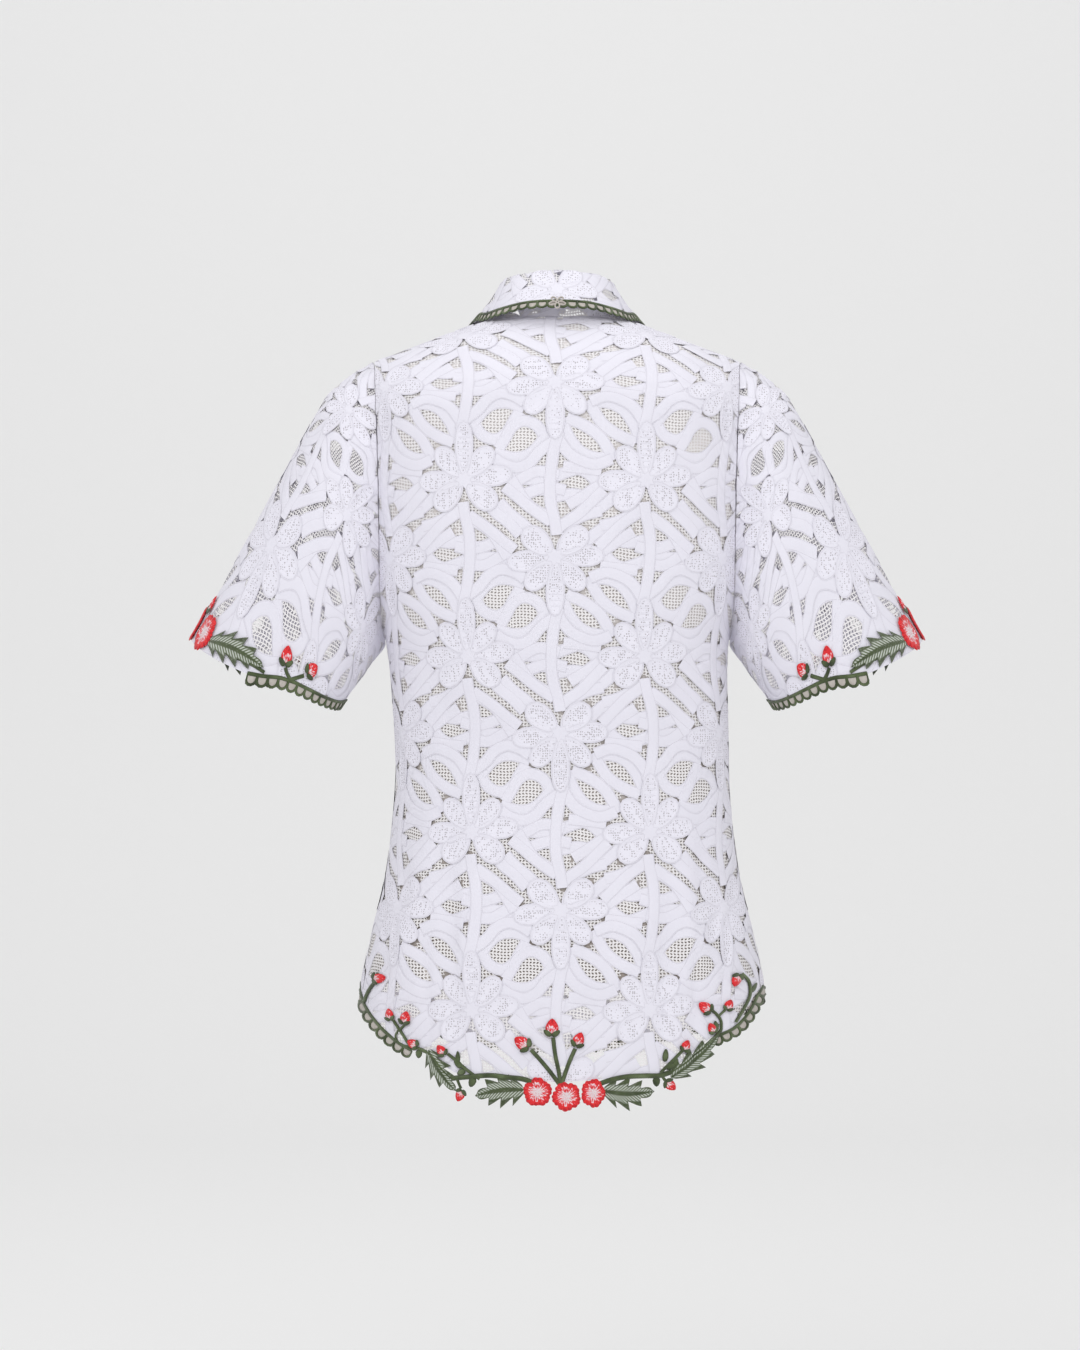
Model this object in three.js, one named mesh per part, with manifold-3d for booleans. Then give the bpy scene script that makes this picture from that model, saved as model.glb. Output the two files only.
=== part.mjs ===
// A short-sleeved lace kebaya, filled out as when it is worn, with nobody in it.
// Millimetres, +Z up. The front faces -Y, the back +Y and the wearer's left +X.
// The origin is the middle of the line of the shoulders.
import * as THREE from "three";
import Module from "manifold-3d";

const wasm = await Module();
wasm.setup();

// Cloth
const LACE_THICKNESS = 1.4;
const LINING_THICKNESS = 1.0;
const LINING_GAP = 1.1;
const STITCHING_THICKNESS = 1.5;
const STITCHING_GAP = 0.8;
const SEAM_GAP = 0.3;

// Body
const UNDERARM_Z = -279;
const ARMHOLE_CURVE_Z = -232;
const SIDE_HEM_Z = -598;
const LINING_HEM_Z = -590;
const LINING_SNAP = 3;
const BACK_HEM_DROP = 90;
const FRONT_HEM_DROP = 62;
const HEM_ROUNDNESS = 0.7;
const SECTION_POWER = 2.3;
const BODY_LEAN = 5;
const LEAN_START_Z = -250;
const LEAN_LENGTH = 150;
const ARMHOLE_CURVE = 1.4;
const GIRTH_HALF = 165;
const GIRTH_DEEP = 104;

// One row per level of the body: height, half width at the side seam, depth behind and in front.
const BODY_LEVELS = [
  { z: -760, half: 197, back: 125, front: 116 },
  { z: -600, half: 188, back: 118, front: 112 },
  { z: -544, half: 177, back: 111, front: 107 },
  { z: -488, half: 164, back: 102, front: 102 },
  { z: -405, half: 155.5, back: 92, front: 100 },
  { z: -330, half: 156, back: 95, front: 112 },
  { z: -279, half: 159, back: 99, front: 116 },
  { z: -230, half: 170, back: 102, front: 112 },
  { z: -147, half: 178, back: 104, front: 104 },
  { z: -60, half: 184, back: 104, front: 94 },
  { z: 120, half: 192, back: 104, front: 84 },
];

// Soft folds that stand off the body: place as a share of the quarter girth, half width, height
// and reach. Each one fades in over its last stretch above and below.
const FOLD_FADE_ABOVE = 90;
const FOLD_FADE_BELOW = 60;
const BODY_FOLDS = [
  { side: 1, at: -0.52, width: 0.11, rise: 4.5, low: -605, high: -430 },
  { side: 1, at: -0.27, width: 0.09, rise: 3.0, low: -600, high: -470 },
  { side: 1, at: 0.38, width: 0.10, rise: 3.5, low: -605, high: -450 },
  { side: 1, at: 0.62, width: 0.11, rise: 4.5, low: -605, high: -420 },
  { side: -1, at: -0.55, width: 0.12, rise: 4.0, low: -640, high: -440 },
  { side: -1, at: 0.48, width: 0.12, rise: 4.5, low: -630, high: -430 },
];

// Shoulders and neck
const SHOULDER_SLOPE = 0.372;
const NECK_HALF_WIDTH = 62;
const NECK_SIDE_Z = 25;
const NECK_BACK_DEPTH = 57;
const NECK_FRONT_Z = -70;
const NECK_FRONT_CURVE = 1.15;
const SHOULDER_TIP_X = 170;
const RIDGE_Y = -5;
const SHOULDER_ROUNDING = 95;
const ROUNDING_TAPER = 0.2;

// Sleeves, one row per ring: place of its top and of its lowest point, half its depth, and how far
// its back and its front hang below the straight line between those two points.
const SLEEVE_RINGS = [
  { topX: 170, topZ: -15, underX: 159, underZ: -279, half: 52, dip: 0 },
  { topX: 194, topZ: -29, underX: 162, underZ: -284, half: 60, dip: 1 },
  { topX: 214, topZ: -47, underX: 167, underZ: -290, half: 65, dip: 2 },
  { topX: 232, topZ: -78, underX: 173, underZ: -298, half: 67, dip: 3.5 },
  { topX: 252, topZ: -115, underX: 180, underZ: -307, half: 67, dip: 5 },
  { topX: 280, topZ: -165, underX: 187, underZ: -317, half: 66, dip: 6.5 },
  { topX: 309, topZ: -219, underX: 194.5, underZ: -327, half: 64, dip: 8 },
  { topX: 339, topZ: -274, underX: 202, underZ: -338, half: 62, dip: 9 },
];

// Collar, one row per station from the middle of the back to the front edge: fold line, then lower edge.
const COLLAR_STATIONS = [
  { foldX: 0, foldY: 46, foldZ: 65, edgeX: 0, edgeY: 67, edgeZ: 40 },
  { foldX: 20, foldY: 42, foldZ: 64, edgeX: 27, edgeY: 62, edgeZ: 39 },
  { foldX: 37, foldY: 31, foldZ: 62, edgeX: 50, edgeY: 48, edgeZ: 34 },
  { foldX: 48, foldY: 14, foldZ: 59, edgeX: 65, edgeY: 24, edgeZ: 30 },
  { foldX: 51, foldY: -5, foldZ: 55, edgeX: 72, edgeY: -5, edgeZ: 28 },
  { foldX: 49, foldY: -28, foldZ: 45, edgeX: 80, edgeY: -38, edgeZ: 16 },
  { foldX: 41, foldY: -53, foldZ: 27, edgeX: 79, edgeY: -74, edgeZ: -12 },
  { foldX: 27, foldY: -80, foldZ: -6, edgeX: 67, edgeY: -96, edgeZ: -47 },
  { foldX: 10, foldY: -100, foldZ: -48, edgeX: 48, edgeY: -108, edgeZ: -88 },
];

// Lace: a flower and its windows repeat down each column, with every second column half a step lower.
const BODY_ROWS = 11;
const YOKE_ROWS = 7;
const HALF_COLUMNS = 6;
const ARMHOLE_COLUMN = 5;
const SLEEVE_ROWS = 6;
const CUFF_HALF = 215;
const FLOWER_CELLS = 2;

// Scalloped edging
const SCALLOP_PITCH = 11.2;
const SCALLOP_NECK = 2.6;
const SCALLOP_DEPTH = 7.5;
const SCALLOP_SLANT = 0.24;
const PLAIN_PITCH = 22;
const COLLAR_EDGE_CLEARANCE = 1;

const COLOURS = {
  lace: 0xe9e6f2,
  lining: 0xdfd8d3,
  green: 0x5c6b45,
  red: 0xd8484c,
};

// Small helpers
const TINY = 1e-9;
const lerp = (a, b, t) => a + (b - a) * t;
const clamp = (t, low, high) => Math.min(high, Math.max(low, t));
const smooth = (t) => {
  const c = clamp(t, 0, 1);
  return c * c * (3 - 2 * c);
};

// The value of one column of a table at a place between its rows, on a smooth curve through them.
// Past its last row the curve runs straight on.
function tableValue(rows, key, place, column) {
  const last = rows.length - 1;
  const past = place - rows[last][key];
  if (past > 0) {
    const run = rows[last][key] - rows[last - 1][key];
    return rows[last][column] + (past * (rows[last][column] - rows[last - 1][column])) / run;
  }
  let i = 0;
  while (i < rows.length - 2 && place > rows[i + 1][key]) i += 1;
  const slope = (a, b) => (rows[b][column] - rows[a][column]) / (rows[b][key] - rows[a][key]);
  const start = slope(Math.max(i - 1, 0), i + 1);
  const end = slope(i, Math.min(i + 2, rows.length - 1));
  const span = rows[i + 1][key] - rows[i][key];
  const t = clamp((place - rows[i][key]) / span, 0, 1);
  const t2 = t * t;
  const t3 = t2 * t;
  return (
    (2 * t3 - 3 * t2 + 1) * rows[i][column] +
    (t3 - 2 * t2 + t) * span * start +
    (3 * t2 - 2 * t3) * rows[i + 1][column] +
    (t3 - t2) * span * end
  );
}

// Round the body
// A section is a rounded oval. Its places are given as a share of the quarter girth, so that
// equal shares lie equally far apart on the cloth.
const across = (turn) => Math.sign(Math.sin(turn)) * Math.abs(Math.sin(turn)) ** (2 / SECTION_POWER);
const along = (turn) => Math.sign(Math.cos(turn)) * Math.abs(Math.cos(turn)) ** (2 / SECTION_POWER);
const GIRTH_STEPS = 180;
const GIRTH_SHARES = [0];
for (let i = 1; i <= GIRTH_STEPS; i += 1) {
  const a = ((i - 1) / GIRTH_STEPS) * (Math.PI / 2);
  const b = (i / GIRTH_STEPS) * (Math.PI / 2);
  const step = Math.hypot(GIRTH_HALF * (across(b) - across(a)), GIRTH_DEEP * (along(b) - along(a)));
  GIRTH_SHARES.push(GIRTH_SHARES[i - 1] + step);
}
const GIRTH_LENGTH = GIRTH_SHARES[GIRTH_STEPS];

function turnAt(share) {
  const target = Math.abs(share) * GIRTH_LENGTH;
  let i = 1;
  while (i < GIRTH_STEPS && GIRTH_SHARES[i] < target) i += 1;
  const part = (target - GIRTH_SHARES[i - 1]) / (GIRTH_SHARES[i] - GIRTH_SHARES[i - 1]);
  return (Math.sign(share) * (i - 1 + part) * (Math.PI / 2)) / GIRTH_STEPS;
}

function shareAt(turn) {
  const place = (Math.abs(turn) / (Math.PI / 2)) * GIRTH_STEPS;
  const i = clamp(Math.floor(place), 0, GIRTH_STEPS - 1);
  return (Math.sign(turn) * lerp(GIRTH_SHARES[i], GIRTH_SHARES[i + 1], place - i)) / GIRTH_LENGTH;
}

// The top of the shoulder above a place x, and how far below it the cloth begins to round over.
function shoulderTop(x) {
  const out = Math.abs(x);
  if (out > NECK_HALF_WIDTH) return NECK_SIDE_Z - SHOULDER_SLOPE * (out - NECK_HALF_WIDTH);
  const middle = NECK_SIDE_Z + (SHOULDER_SLOPE * NECK_HALF_WIDTH) / 2;
  return middle - (SHOULDER_SLOPE / (2 * NECK_HALF_WIDTH)) * out * out;
}
const roundingAt = (x) => SHOULDER_ROUNDING - ROUNDING_TAPER * Math.abs(x);

function foldRise(side, share, height) {
  let rise = 0;
  for (const fold of BODY_FOLDS) {
    const off = Math.abs(share - fold.at) / fold.width;
    const above = smooth((fold.high - height) / FOLD_FADE_ABOVE);
    const reach = above * smooth((height - fold.low) / FOLD_FADE_BELOW);
    if (fold.side === side && off < 1) rise += fold.rise * reach * 0.5 * (1 + Math.cos(Math.PI * off));
  }
  return rise;
}

// A point of the body's outer face. side is 1 behind and -1 in front, share runs from -1 to 1 round
// that side, and height is measured up the cloth, which rounds over at the shoulders.
function bodyPoint(side, share, height, hasFolds = true) {
  const turn = turnAt(share);
  const half = tableValue(BODY_LEVELS, "z", height, "half");
  const deep = tableValue(BODY_LEVELS, "z", height, side > 0 ? "back" : "front");
  const folded = hasFolds ? foldRise(side, share, height) : 0;
  const length = Math.hypot(across(turn) / half, along(turn) / deep);
  const x = half * across(turn) + (folded * across(turn)) / half / length;
  const depth = deep * along(turn) + (folded * along(turn)) / deep / length;
  const rounding = roundingAt(x);
  const start = shoulderTop(x) - rounding;
  const lean = -BODY_LEAN * smooth((LEAN_START_Z - height) / LEAN_LENGTH);
  if (height <= start) return new THREE.Vector3(x + lean, side * depth, height);
  const reach = depth - side * RIDGE_Y;
  const bend = ((height - start) / Math.hypot(rounding, reach)) * Math.SQRT2;
  return new THREE.Vector3(
    x + lean,
    RIDGE_Y + side * reach * Math.cos(bend),
    start + rounding * Math.sin(bend),
  );
}

// The share at a place x of the level at a height.
function shareOfX(x, height) {
  const half = tableValue(BODY_LEVELS, "z", height, "half");
  const sine = clamp(Math.abs(x) / half, 0, 1) ** (SECTION_POWER / 2);
  return Math.sign(x) * shareAt(Math.asin(sine));
}

// The height, up the cloth, of the shoulder seam or of the neck's edge above a place x. The body's
// depth there depends on that height, so it is found in a few rounds.
const TOP_ROUNDS = 6;
function topHeight(side, x) {
  const out = Math.abs(x);
  const rounding = roundingAt(out);
  const start = shoulderTop(out) - rounding;
  let height = start + rounding;
  for (let i = 0; i < TOP_ROUNDS; i += 1) {
    const turn = turnAt(shareOfX(out, height));
    const deep = tableValue(BODY_LEVELS, "z", height, side > 0 ? "back" : "front");
    const reach = deep * along(turn) - side * RIDGE_Y;
    const neckY = NECK_BACK_DEPTH * Math.sqrt(Math.max(1 - (out / NECK_HALF_WIDTH) ** 2, 0));
    const bend = side > 0 ? Math.acos(clamp(neckY / reach, 0, 1)) : Math.PI / 2;
    height = start + (Math.hypot(rounding, reach) / Math.SQRT2) * bend;
  }
  if (out >= NECK_HALF_WIDTH) return height - SEAM_GAP / 2;
  if (side > 0) return height;
  const inner = topHeight(side, NECK_HALF_WIDTH);
  return NECK_FRONT_Z + (inner - NECK_FRONT_Z) * (out / NECK_HALF_WIDTH) ** NECK_FRONT_CURVE;
}

function hemHeight(side, share) {
  const r = Math.abs(across(turnAt(clamp(share, -1, 1))));
  const drop = side > 0 ? BACK_HEM_DROP : FRONT_HEM_DROP;
  return SIDE_HEM_Z - drop * Math.max(1 - r * r, 0) ** HEM_ROUNDNESS;
}

// The cut edge of the hem runs straight between the columns and their middles.
function hemEdgeHeight(side, share) {
  const steps = 2 * HALF_COLUMNS;
  const place = clamp(share, -1, 1) * steps;
  const low = Math.min(Math.floor(place), steps - 1);
  return lerp(hemHeight(side, low / steps), hemHeight(side, (low + 1) / steps), place - low);
}

// Where the block of straight rows ends: level under the armholes, lower again at the side seam.
function armholeBottom(share) {
  const inner = ARMHOLE_COLUMN / HALF_COLUMNS;
  const near = clamp((1 - Math.abs(share)) / (1 - inner), 0, 1);
  return UNDERARM_Z + (ARMHOLE_CURVE_Z - UNDERARM_Z) * near ** ARMHOLE_CURVE;
}

// Seams are left open by a small share of the quarter girth.
const SIDE_SEAM_SHARE = 0.001;
const CENTRE_SHARE = 0.0013;
const endShare = (share) => clamp(share, -1 + SIDE_SEAM_SHARE, 1 - SIDE_SEAM_SHARE);

// A place of the lower block, by column and by row, both of which may lie between whole numbers.
// A lining has the same rows, cut off level at its own hem.
function lowerPlace(side, column, row, lowest = -Infinity) {
  const share = column / HALF_COLUMNS;
  const height = lerp(hemHeight(side, share), armholeBottom(share), row / BODY_ROWS);
  return [endShare(share), height < lowest + LINING_SNAP ? lowest : height];
}

// A place of the yoke, between the armholes and up to the shoulder seam and the neck.
const YOKE_TOP_X = [0, 31, 62, 98, 134, SHOULDER_TIP_X];
function yokeTopX(column) {
  const out = Math.min(Math.abs(column), ARMHOLE_COLUMN - TINY);
  const i = Math.floor(out);
  return Math.sign(column) * lerp(YOKE_TOP_X[i], YOKE_TOP_X[i + 1], out - i);
}
function yokePlace(side, column, row) {
  const t = row / YOKE_ROWS;
  const height = lerp(ARMHOLE_CURVE_Z, topHeight(side, yokeTopX(column)), t);
  const half = tableValue(BODY_LEVELS, "z", ARMHOLE_CURVE_Z, "half");
  const bottomX = half * across(turnAt(column / HALF_COLUMNS));
  if (row === 0) return [column / HALF_COLUMNS, height];
  const edgeStart = half * across(turnAt(ARMHOLE_COLUMN / HALF_COLUMNS));
  const edgeX = lerp(edgeStart, SHOULDER_TIP_X, t * t);
  const x = lerp(bottomX / edgeStart, yokeTopX(column) / SHOULDER_TIP_X, t) * edgeX;
  return [shareOfX(x, height), height];
}

// Cloth walls
// A sheet is made of cells. Each cell is an outline of places on a surface, with one window or none.
// The wall is built from the same points, moved out and in, and closed along every open edge.
function sheet(surface, cells, outerRise, innerRise) {
  const places = [];
  const indexOf = new Map();
  const vertex = (place) => {
    const first = surface.period ? place[0] % surface.period : place[0];
    const key = `${Math.round(first * 1e6)},${Math.round(place[1] * 1e4)}`;
    if (!indexOf.has(key)) {
      indexOf.set(key, places.length);
      places.push(place);
    }
    return indexOf.get(key);
  };
  const triangles = [];
  for (const cell of cells) {
    const outline = cell.outline.filter((p, i, all) => vertex(p) !== vertex(all[(i + 1) % all.length]));
    if (outline.length < 3) continue;
    const scale = surface.scale;
    const flat = (list) => list.map((p) => new THREE.Vector2(p[0] * scale, p[1]));
    const holes = cell.hole ? [cell.hole] : [];
    const all = [...outline, ...holes.flat()];
    const plainFour = outline.length === 4 && holes.length === 0;
    const cut = () => THREE.ShapeUtils.triangulateShape(flat(outline), holes.map(flat));
    const faces = plainFour ? splitFour(surface, outline) : cut();
    for (const [a, b, c] of faces) {
      const [p, q, r] = [all[a], all[b], all[c]];
      const area = (q[0] - p[0]) * (r[1] - p[1]) - (q[1] - p[1]) * (r[0] - p[0]);
      const turned = area * surface.facing < 0;
      triangles.push(turned ? [vertex(p), vertex(r), vertex(q)] : [vertex(p), vertex(q), vertex(r)]);
    }
  }
  const count = places.length;
  const positions = [];
  for (const rise of [outerRise, innerRise]) {
    for (const place of places) {
      const point = raisedPoint(surface, place, rise);
      positions.push(point.x, point.y, point.z);
    }
  }
  const edges = new Set(triangles.flatMap(([a, b, c]) => [`${a},${b}`, `${b},${c}`, `${c},${a}`]));
  const index = [];
  for (const [a, b, c] of triangles) {
    index.push(a, b, c, a + count, c + count, b + count);
    for (const [from, to] of [[a, b], [b, c], [c, a]]) {
      if (edges.has(`${to},${from}`)) continue;
      index.push(from, from + count, to + count, from, to + count, to);
    }
  }
  const geometry = new THREE.BufferGeometry();
  geometry.setAttribute("position", new THREE.Float32BufferAttribute(positions, 3));
  geometry.setIndex(index);
  return geometry;
}

// A plain cell is split along the diagonal that lies further out, or further in on a lining.
function splitFour(surface, outline) {
  const centre = [0, 1].map((i) => outline.reduce((sum, place) => sum + place[i], 0) / 4);
  const out = raisedPoint(surface, centre, 1).sub(surface.at(...centre));
  const level = (i, j) => surface.at(...outline[i]).add(surface.at(...outline[j])).dot(out);
  const firstIsOuter = level(0, 2) > level(1, 3);
  return firstIsOuter !== Boolean(surface.bendsIn) ? [[0, 1, 2], [0, 2, 3]] : [[1, 2, 3], [1, 3, 0]];
}

// The point that stands off a surface by a rise, square to it. facing is 1 where the surface's
// first direction crossed with its second points outwards, and -1 where it points inwards.
function raisedPoint(surface, place, rise) {
  const [a, b] = place;
  const stepA = surface.stepA;
  const stepB = surface.stepB;
  const alongA = surface.at(a + stepA, b).sub(surface.at(a - stepA, b));
  const alongB = surface.at(a, b + stepB).sub(surface.at(a, b - stepB));
  const normal = alongA.cross(alongB).normalize().multiplyScalar(surface.facing);
  return surface.at(a, b).addScaledVector(normal, rise);
}

// A share of the quarter girth in millimetres, and the step that a slope is measured over.
const BODY_SCALE = 230;
const SHARE_STEP = 0.004;
const bodySurface = (side, hasFolds = true) => ({
  at: (share, height) => bodyPoint(side, share, height, hasFolds),
  bendsIn: !hasFolds,
  facing: -side,
  scale: BODY_SCALE,
  stepA: SHARE_STEP,
  stepB: 1,
});

// Windows of the lace, in shares of their cell, one leaf that leans to the right.
const WINDOW = [[0.16, 0.14], [0.66, 0.26], [0.86, 0.86], [0.46, 0.8], [0.2, 0.5]];
// Columns are counted from the middle outwards, so that the two halves mirror each other.
const outward = (column) => (column < 0 ? -1 - column : column);
function cellWindow(corner, column, row) {
  const flipAcross = (outward(column) % FLOWER_CELLS === 1) !== column < 0;
  const flipUp = row % FLOWER_CELLS === 0;
  return WINDOW.map(([p, q]) => {
    const u = flipAcross ? 1 - p : p;
    const v = flipUp ? 1 - q : q;
    return corner(column + u, row + v);
  });
}

// Whether a cell has a window: the cells between the flowers do, save the smallest one of each four.
function isOpen(column, row) {
  const group = Math.floor((outward(column) + 1) / FLOWER_CELLS);
  const isBetween = (group + Math.floor(row / FLOWER_CELLS)) % 2 === 0;
  const isSmallest = group > 0 && outward(column) % FLOWER_CELLS === 1 && row % FLOWER_CELLS === 0;
  return isBetween && !isSmallest;
}

function gridCells(corner, columns, rows, open, middles) {
  const cells = [];
  for (let row = rows[0]; row < rows[1]; row += 1) {
    for (let column = columns[0]; column < columns[1]; column += 1) {
      const outline = [corner(column, row)];
      if (middles) outline.push(corner(column + 0.5, row));
      outline.push(corner(column + 1, row), corner(column + 1, row + 1));
      if (middles) outline.push(corner(column + 0.5, row + 1));
      outline.push(corner(column, row + 1));
      const hole = open(column, row) ? cellWindow(corner, column, row) : null;
      cells.push({ outline, hole });
    }
  }
  return cells;
}

// One panel of the body, from the hem to the shoulders, between two columns.
function panelCells(side, first, last, isLace) {
  const front = side < 0;
  const trim = (place) => {
    if (!front) return place;
    return [first === 0 ? Math.max(place[0], CENTRE_SHARE) : Math.min(place[0], -CENTRE_SHARE), place[1]];
  };
  const lowest = isLace ? -Infinity : LINING_HEM_Z;
  const lower = (column, row) => trim(lowerPlace(side, column, row, lowest));
  const upper = (column, row) => trim(yokePlace(side, column, row));
  const open = (shift) => (column, row) => {
    const atSide = column === -HALF_COLUMNS || column === HALF_COLUMNS - 1;
    const inside = row + shift > 0 && row + shift < BODY_ROWS + YOKE_ROWS - 1;
    return isLace && !atSide && inside && isOpen(column, row + shift);
  };
  const near = [Math.max(first, -ARMHOLE_COLUMN), Math.min(last, ARMHOLE_COLUMN)];
  return [
    ...gridCells(lower, [first, last], [0, BODY_ROWS], open(0), isLace),
    ...gridCells(upper, near, [0, YOKE_ROWS], open(BODY_ROWS), isLace),
  ];
}

// The armhole's edge on one side of the body, from the underarm to the tip of the shoulder.
function armholeEdge(side, wearerSide) {
  const edge = [];
  for (const column of [HALF_COLUMNS, HALF_COLUMNS - 0.5]) {
    const [share, height] = lowerPlace(side, wearerSide * column, BODY_ROWS);
    edge.push(bodyPoint(side, share, height));
  }
  for (let row = 0; row <= YOKE_ROWS; row += 1) {
    const [share, height] = yokePlace(side, wearerSide * ARMHOLE_COLUMN, row);
    edge.push(bodyPoint(side, share, height));
  }
  return edge;
}

// Sleeves
// A place on a sleeve is a share up its back or its front, from the underarm line to the top line,
// and a share down its length. The first ring follows the armhole, just clear of it.
const ARMHOLE_CLEARANCE = 0.5;
const ARMHOLE_REACH = 0.45;
function sleeveSurface(side, wearerSide) {
  const edge = armholeEdge(side, wearerSide);
  const marks = [0];
  for (let i = 1; i < edge.length; i += 1) marks.push(marks[i - 1] + edge[i].distanceTo(edge[i - 1]));
  const total = marks[marks.length - 1];
  const rows = SLEEVE_RINGS.map((ring, i) => ({ ...ring, at: i / (SLEEVE_RINGS.length - 1) }));
  const ringPoint = (share, down) => {
    const value = (column) => tableValue(rows, "at", down, column);
    const turn = Math.PI * share;
    const rise = -Math.cos(turn) / 2;
    const round = Math.sign(Math.sin(turn)) * Math.abs(Math.sin(turn)) ** (2 / SECTION_POWER);
    const x = (value("topX") + value("underX")) / 2 + rise * (value("topX") - value("underX"));
    const middleZ = (value("topZ") + value("underZ")) / 2;
    const z = middleZ + rise * (value("topZ") - value("underZ")) - value("dip") * Math.sin(turn);
    return new THREE.Vector3(wearerSide * x, side * value("half") * round, z);
  };
  const edgePoint = (share) => {
    const target = clamp(share, 0, 1) * total;
    let i = 1;
    while (i < marks.length - 1 && marks[i] < target) i += 1;
    const part = (target - marks[i - 1]) / (marks[i] - marks[i - 1]);
    return edge[i - 1].clone().lerp(edge[i], part);
  };
  return {
    at: (share, down) => {
      const pull = 1 - smooth(down / ARMHOLE_REACH);
      const point = ringPoint(share, down);
      if (pull > 0) {
        const start = edgePoint(share).sub(ringPoint(share, 0));
        start.x += wearerSide * ARMHOLE_CLEARANCE;
        point.addScaledVector(start, pull);
      }
      return point;
    },
    shares: marks.map((mark) => mark / total),
  };
}

// The whole ring of a sleeve: from the underarm line up the back to the top line, then down the front.
function ringSurface(wearerSide) {
  const back = sleeveSurface(1, wearerSide);
  const front = sleeveSurface(-1, wearerSide);
  return {
    at: (turn, down) => {
      const wrapped = ((turn % 2) + 2) % 2;
      return wrapped <= 1 ? back.at(wrapped, down) : front.at(2 - wrapped, down);
    },
    facing: wearerSide,
    period: 2,
    scale: CUFF_HALF,
    stepA: SHARE_STEP,
    stepB: 0.01,
    shares: { back: back.shares, front: front.shares },
  };
}

const SLEEVE_SEAM_SHARE = 0.0007;
function sleeveHalf(side, wearerSide) {
  const surface = ringSurface(wearerSide);
  const shares = side > 0 ? surface.shares.back : surface.shares.front;
  const columns = shares.length - 1;
  const corner = (column, row) => {
    const i = clamp(Math.floor(column), 0, columns - 1);
    const share = clamp(lerp(shares[i], shares[i + 1], column - i), SLEEVE_SEAM_SHARE, 1 - SLEEVE_SEAM_SHARE);
    return [side > 0 ? share : 2 - share, row / SLEEVE_ROWS];
  };
  const open = (column, row) => column > 1 && row > 0 && row < SLEEVE_ROWS - 1 && isOpen(column - 5, row);
  const cells = gridCells(corner, [0, columns], [0, SLEEVE_ROWS], open, false);
  return sheet(surface, cells, 0, -LACE_THICKNESS);
}

// Collar
// Its cloth goes up from the neck's edge, over the fold and down to the lower edge.
function neckPoint(side, x) {
  return bodyPoint(side, shareOfX(x, topHeight(side, x)), topHeight(side, x));
}
function collarBases() {
  const back = [0, 0.36, 0.68, 0.91].map((part) => neckPoint(1, NECK_HALF_WIDTH * part));
  const front = [1, 0.86, 0.62, 0.34, 0.03].map((part) => neckPoint(-1, NECK_HALF_WIDTH * part));
  return [...back, ...front];
}
const COLLAR_LIFT = 2.2;
const COLLAR_FOLD_RADIUS = 3;
function collarSurface() {
  const half = COLLAR_STATIONS.length - 1;
  const bases = collarBases();
  const rows = [];
  for (let i = -half; i <= half; i += 1) {
    const station = COLLAR_STATIONS[Math.abs(i)];
    const base = bases[Math.abs(i)];
    const mirror = i < 0 ? -1 : 1;
    rows.push({
      at: i,
      baseX: mirror * base.x, baseY: base.y, baseZ: base.z + COLLAR_LIFT,
      foldX: mirror * station.foldX, foldY: station.foldY, foldZ: station.foldZ,
      edgeX: mirror * station.edgeX, edgeY: station.edgeY, edgeZ: station.edgeZ,
    });
  }
  const point = (at, name) => {
    const place = clamp(at, -half, half);
    const value = (axis) => tableValue(rows, "at", place, name + axis);
    return new THREE.Vector3(value("X"), value("Y"), value("Z"));
  };
  // The fold is a round arch between the stand and the fall.
  const at = (station, up) => {
    const base = point(station, "base");
    const fold = point(station, "fold");
    const edge = point(station, "edge");
    const out = edge.clone().sub(fold).setZ(0).normalize();
    const radius = COLLAR_FOLD_RADIUS;
    const inner = fold.clone().addScaledVector(out, -radius).setZ(fold.z - radius);
    const outer = fold.clone().addScaledVector(out, radius).setZ(fold.z - radius);
    if (up < 1) return base.lerp(inner, up);
    if (up > 2) return outer.lerp(edge, up - 2);
    const turn = Math.PI * (up - 1);
    const arch = inner.clone().lerp(outer, (1 - Math.cos(turn)) / 2);
    arch.z += radius * Math.sin(turn);
    return arch;
  };
  return { at, facing: 1, scale: 1, stepA: 0.02, stepB: 0.02 };
}
const COLLAR_LEVELS = [0, 1, 1.5, 2, 2.5, 3];
// Cells to every two stations along the collar.
const COLLAR_STEPS = 4;
function collar() {
  const half = COLLAR_STATIONS.length - 1;
  const corner = (column, row) => [(column / COLLAR_STEPS) * 2, COLLAR_LEVELS[row]];
  const columns = half * COLLAR_STEPS / 2;
  const cells = gridCells(corner, [-columns, columns], [0, COLLAR_LEVELS.length - 1], () => false, false);
  return sheet(collarSurface(), cells, LACE_THICKNESS / 2, -LACE_THICKNESS / 2);
}

// Scalloped edging
// A strip just past an edge. place turns a length along the edge and a drop beyond it into a place.
function scallopCells(place, from, to, scalloped, clearance = SEAM_GAP) {
  const count = Math.max(1, Math.round((to - from) / (scalloped ? SCALLOP_PITCH : PLAIN_PITCH)));
  const pitch = (to - from) / count;
  const cells = [];
  for (let i = 0; i < count; i += 1) {
    const a = from + i * pitch;
    const b = a + pitch;
    const neck = SCALLOP_NECK;
    const outline = [place(a, clearance), place(a, neck)];
    if (scalloped) {
      const slant = SCALLOP_SLANT * pitch;
      outline.push(place(a + slant, SCALLOP_DEPTH), place(b - slant, SCALLOP_DEPTH));
    }
    outline.push(place(b, neck), place(b, clearance));
    cells.push({ outline, hole: null });
  }
  return cells;
}

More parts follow.
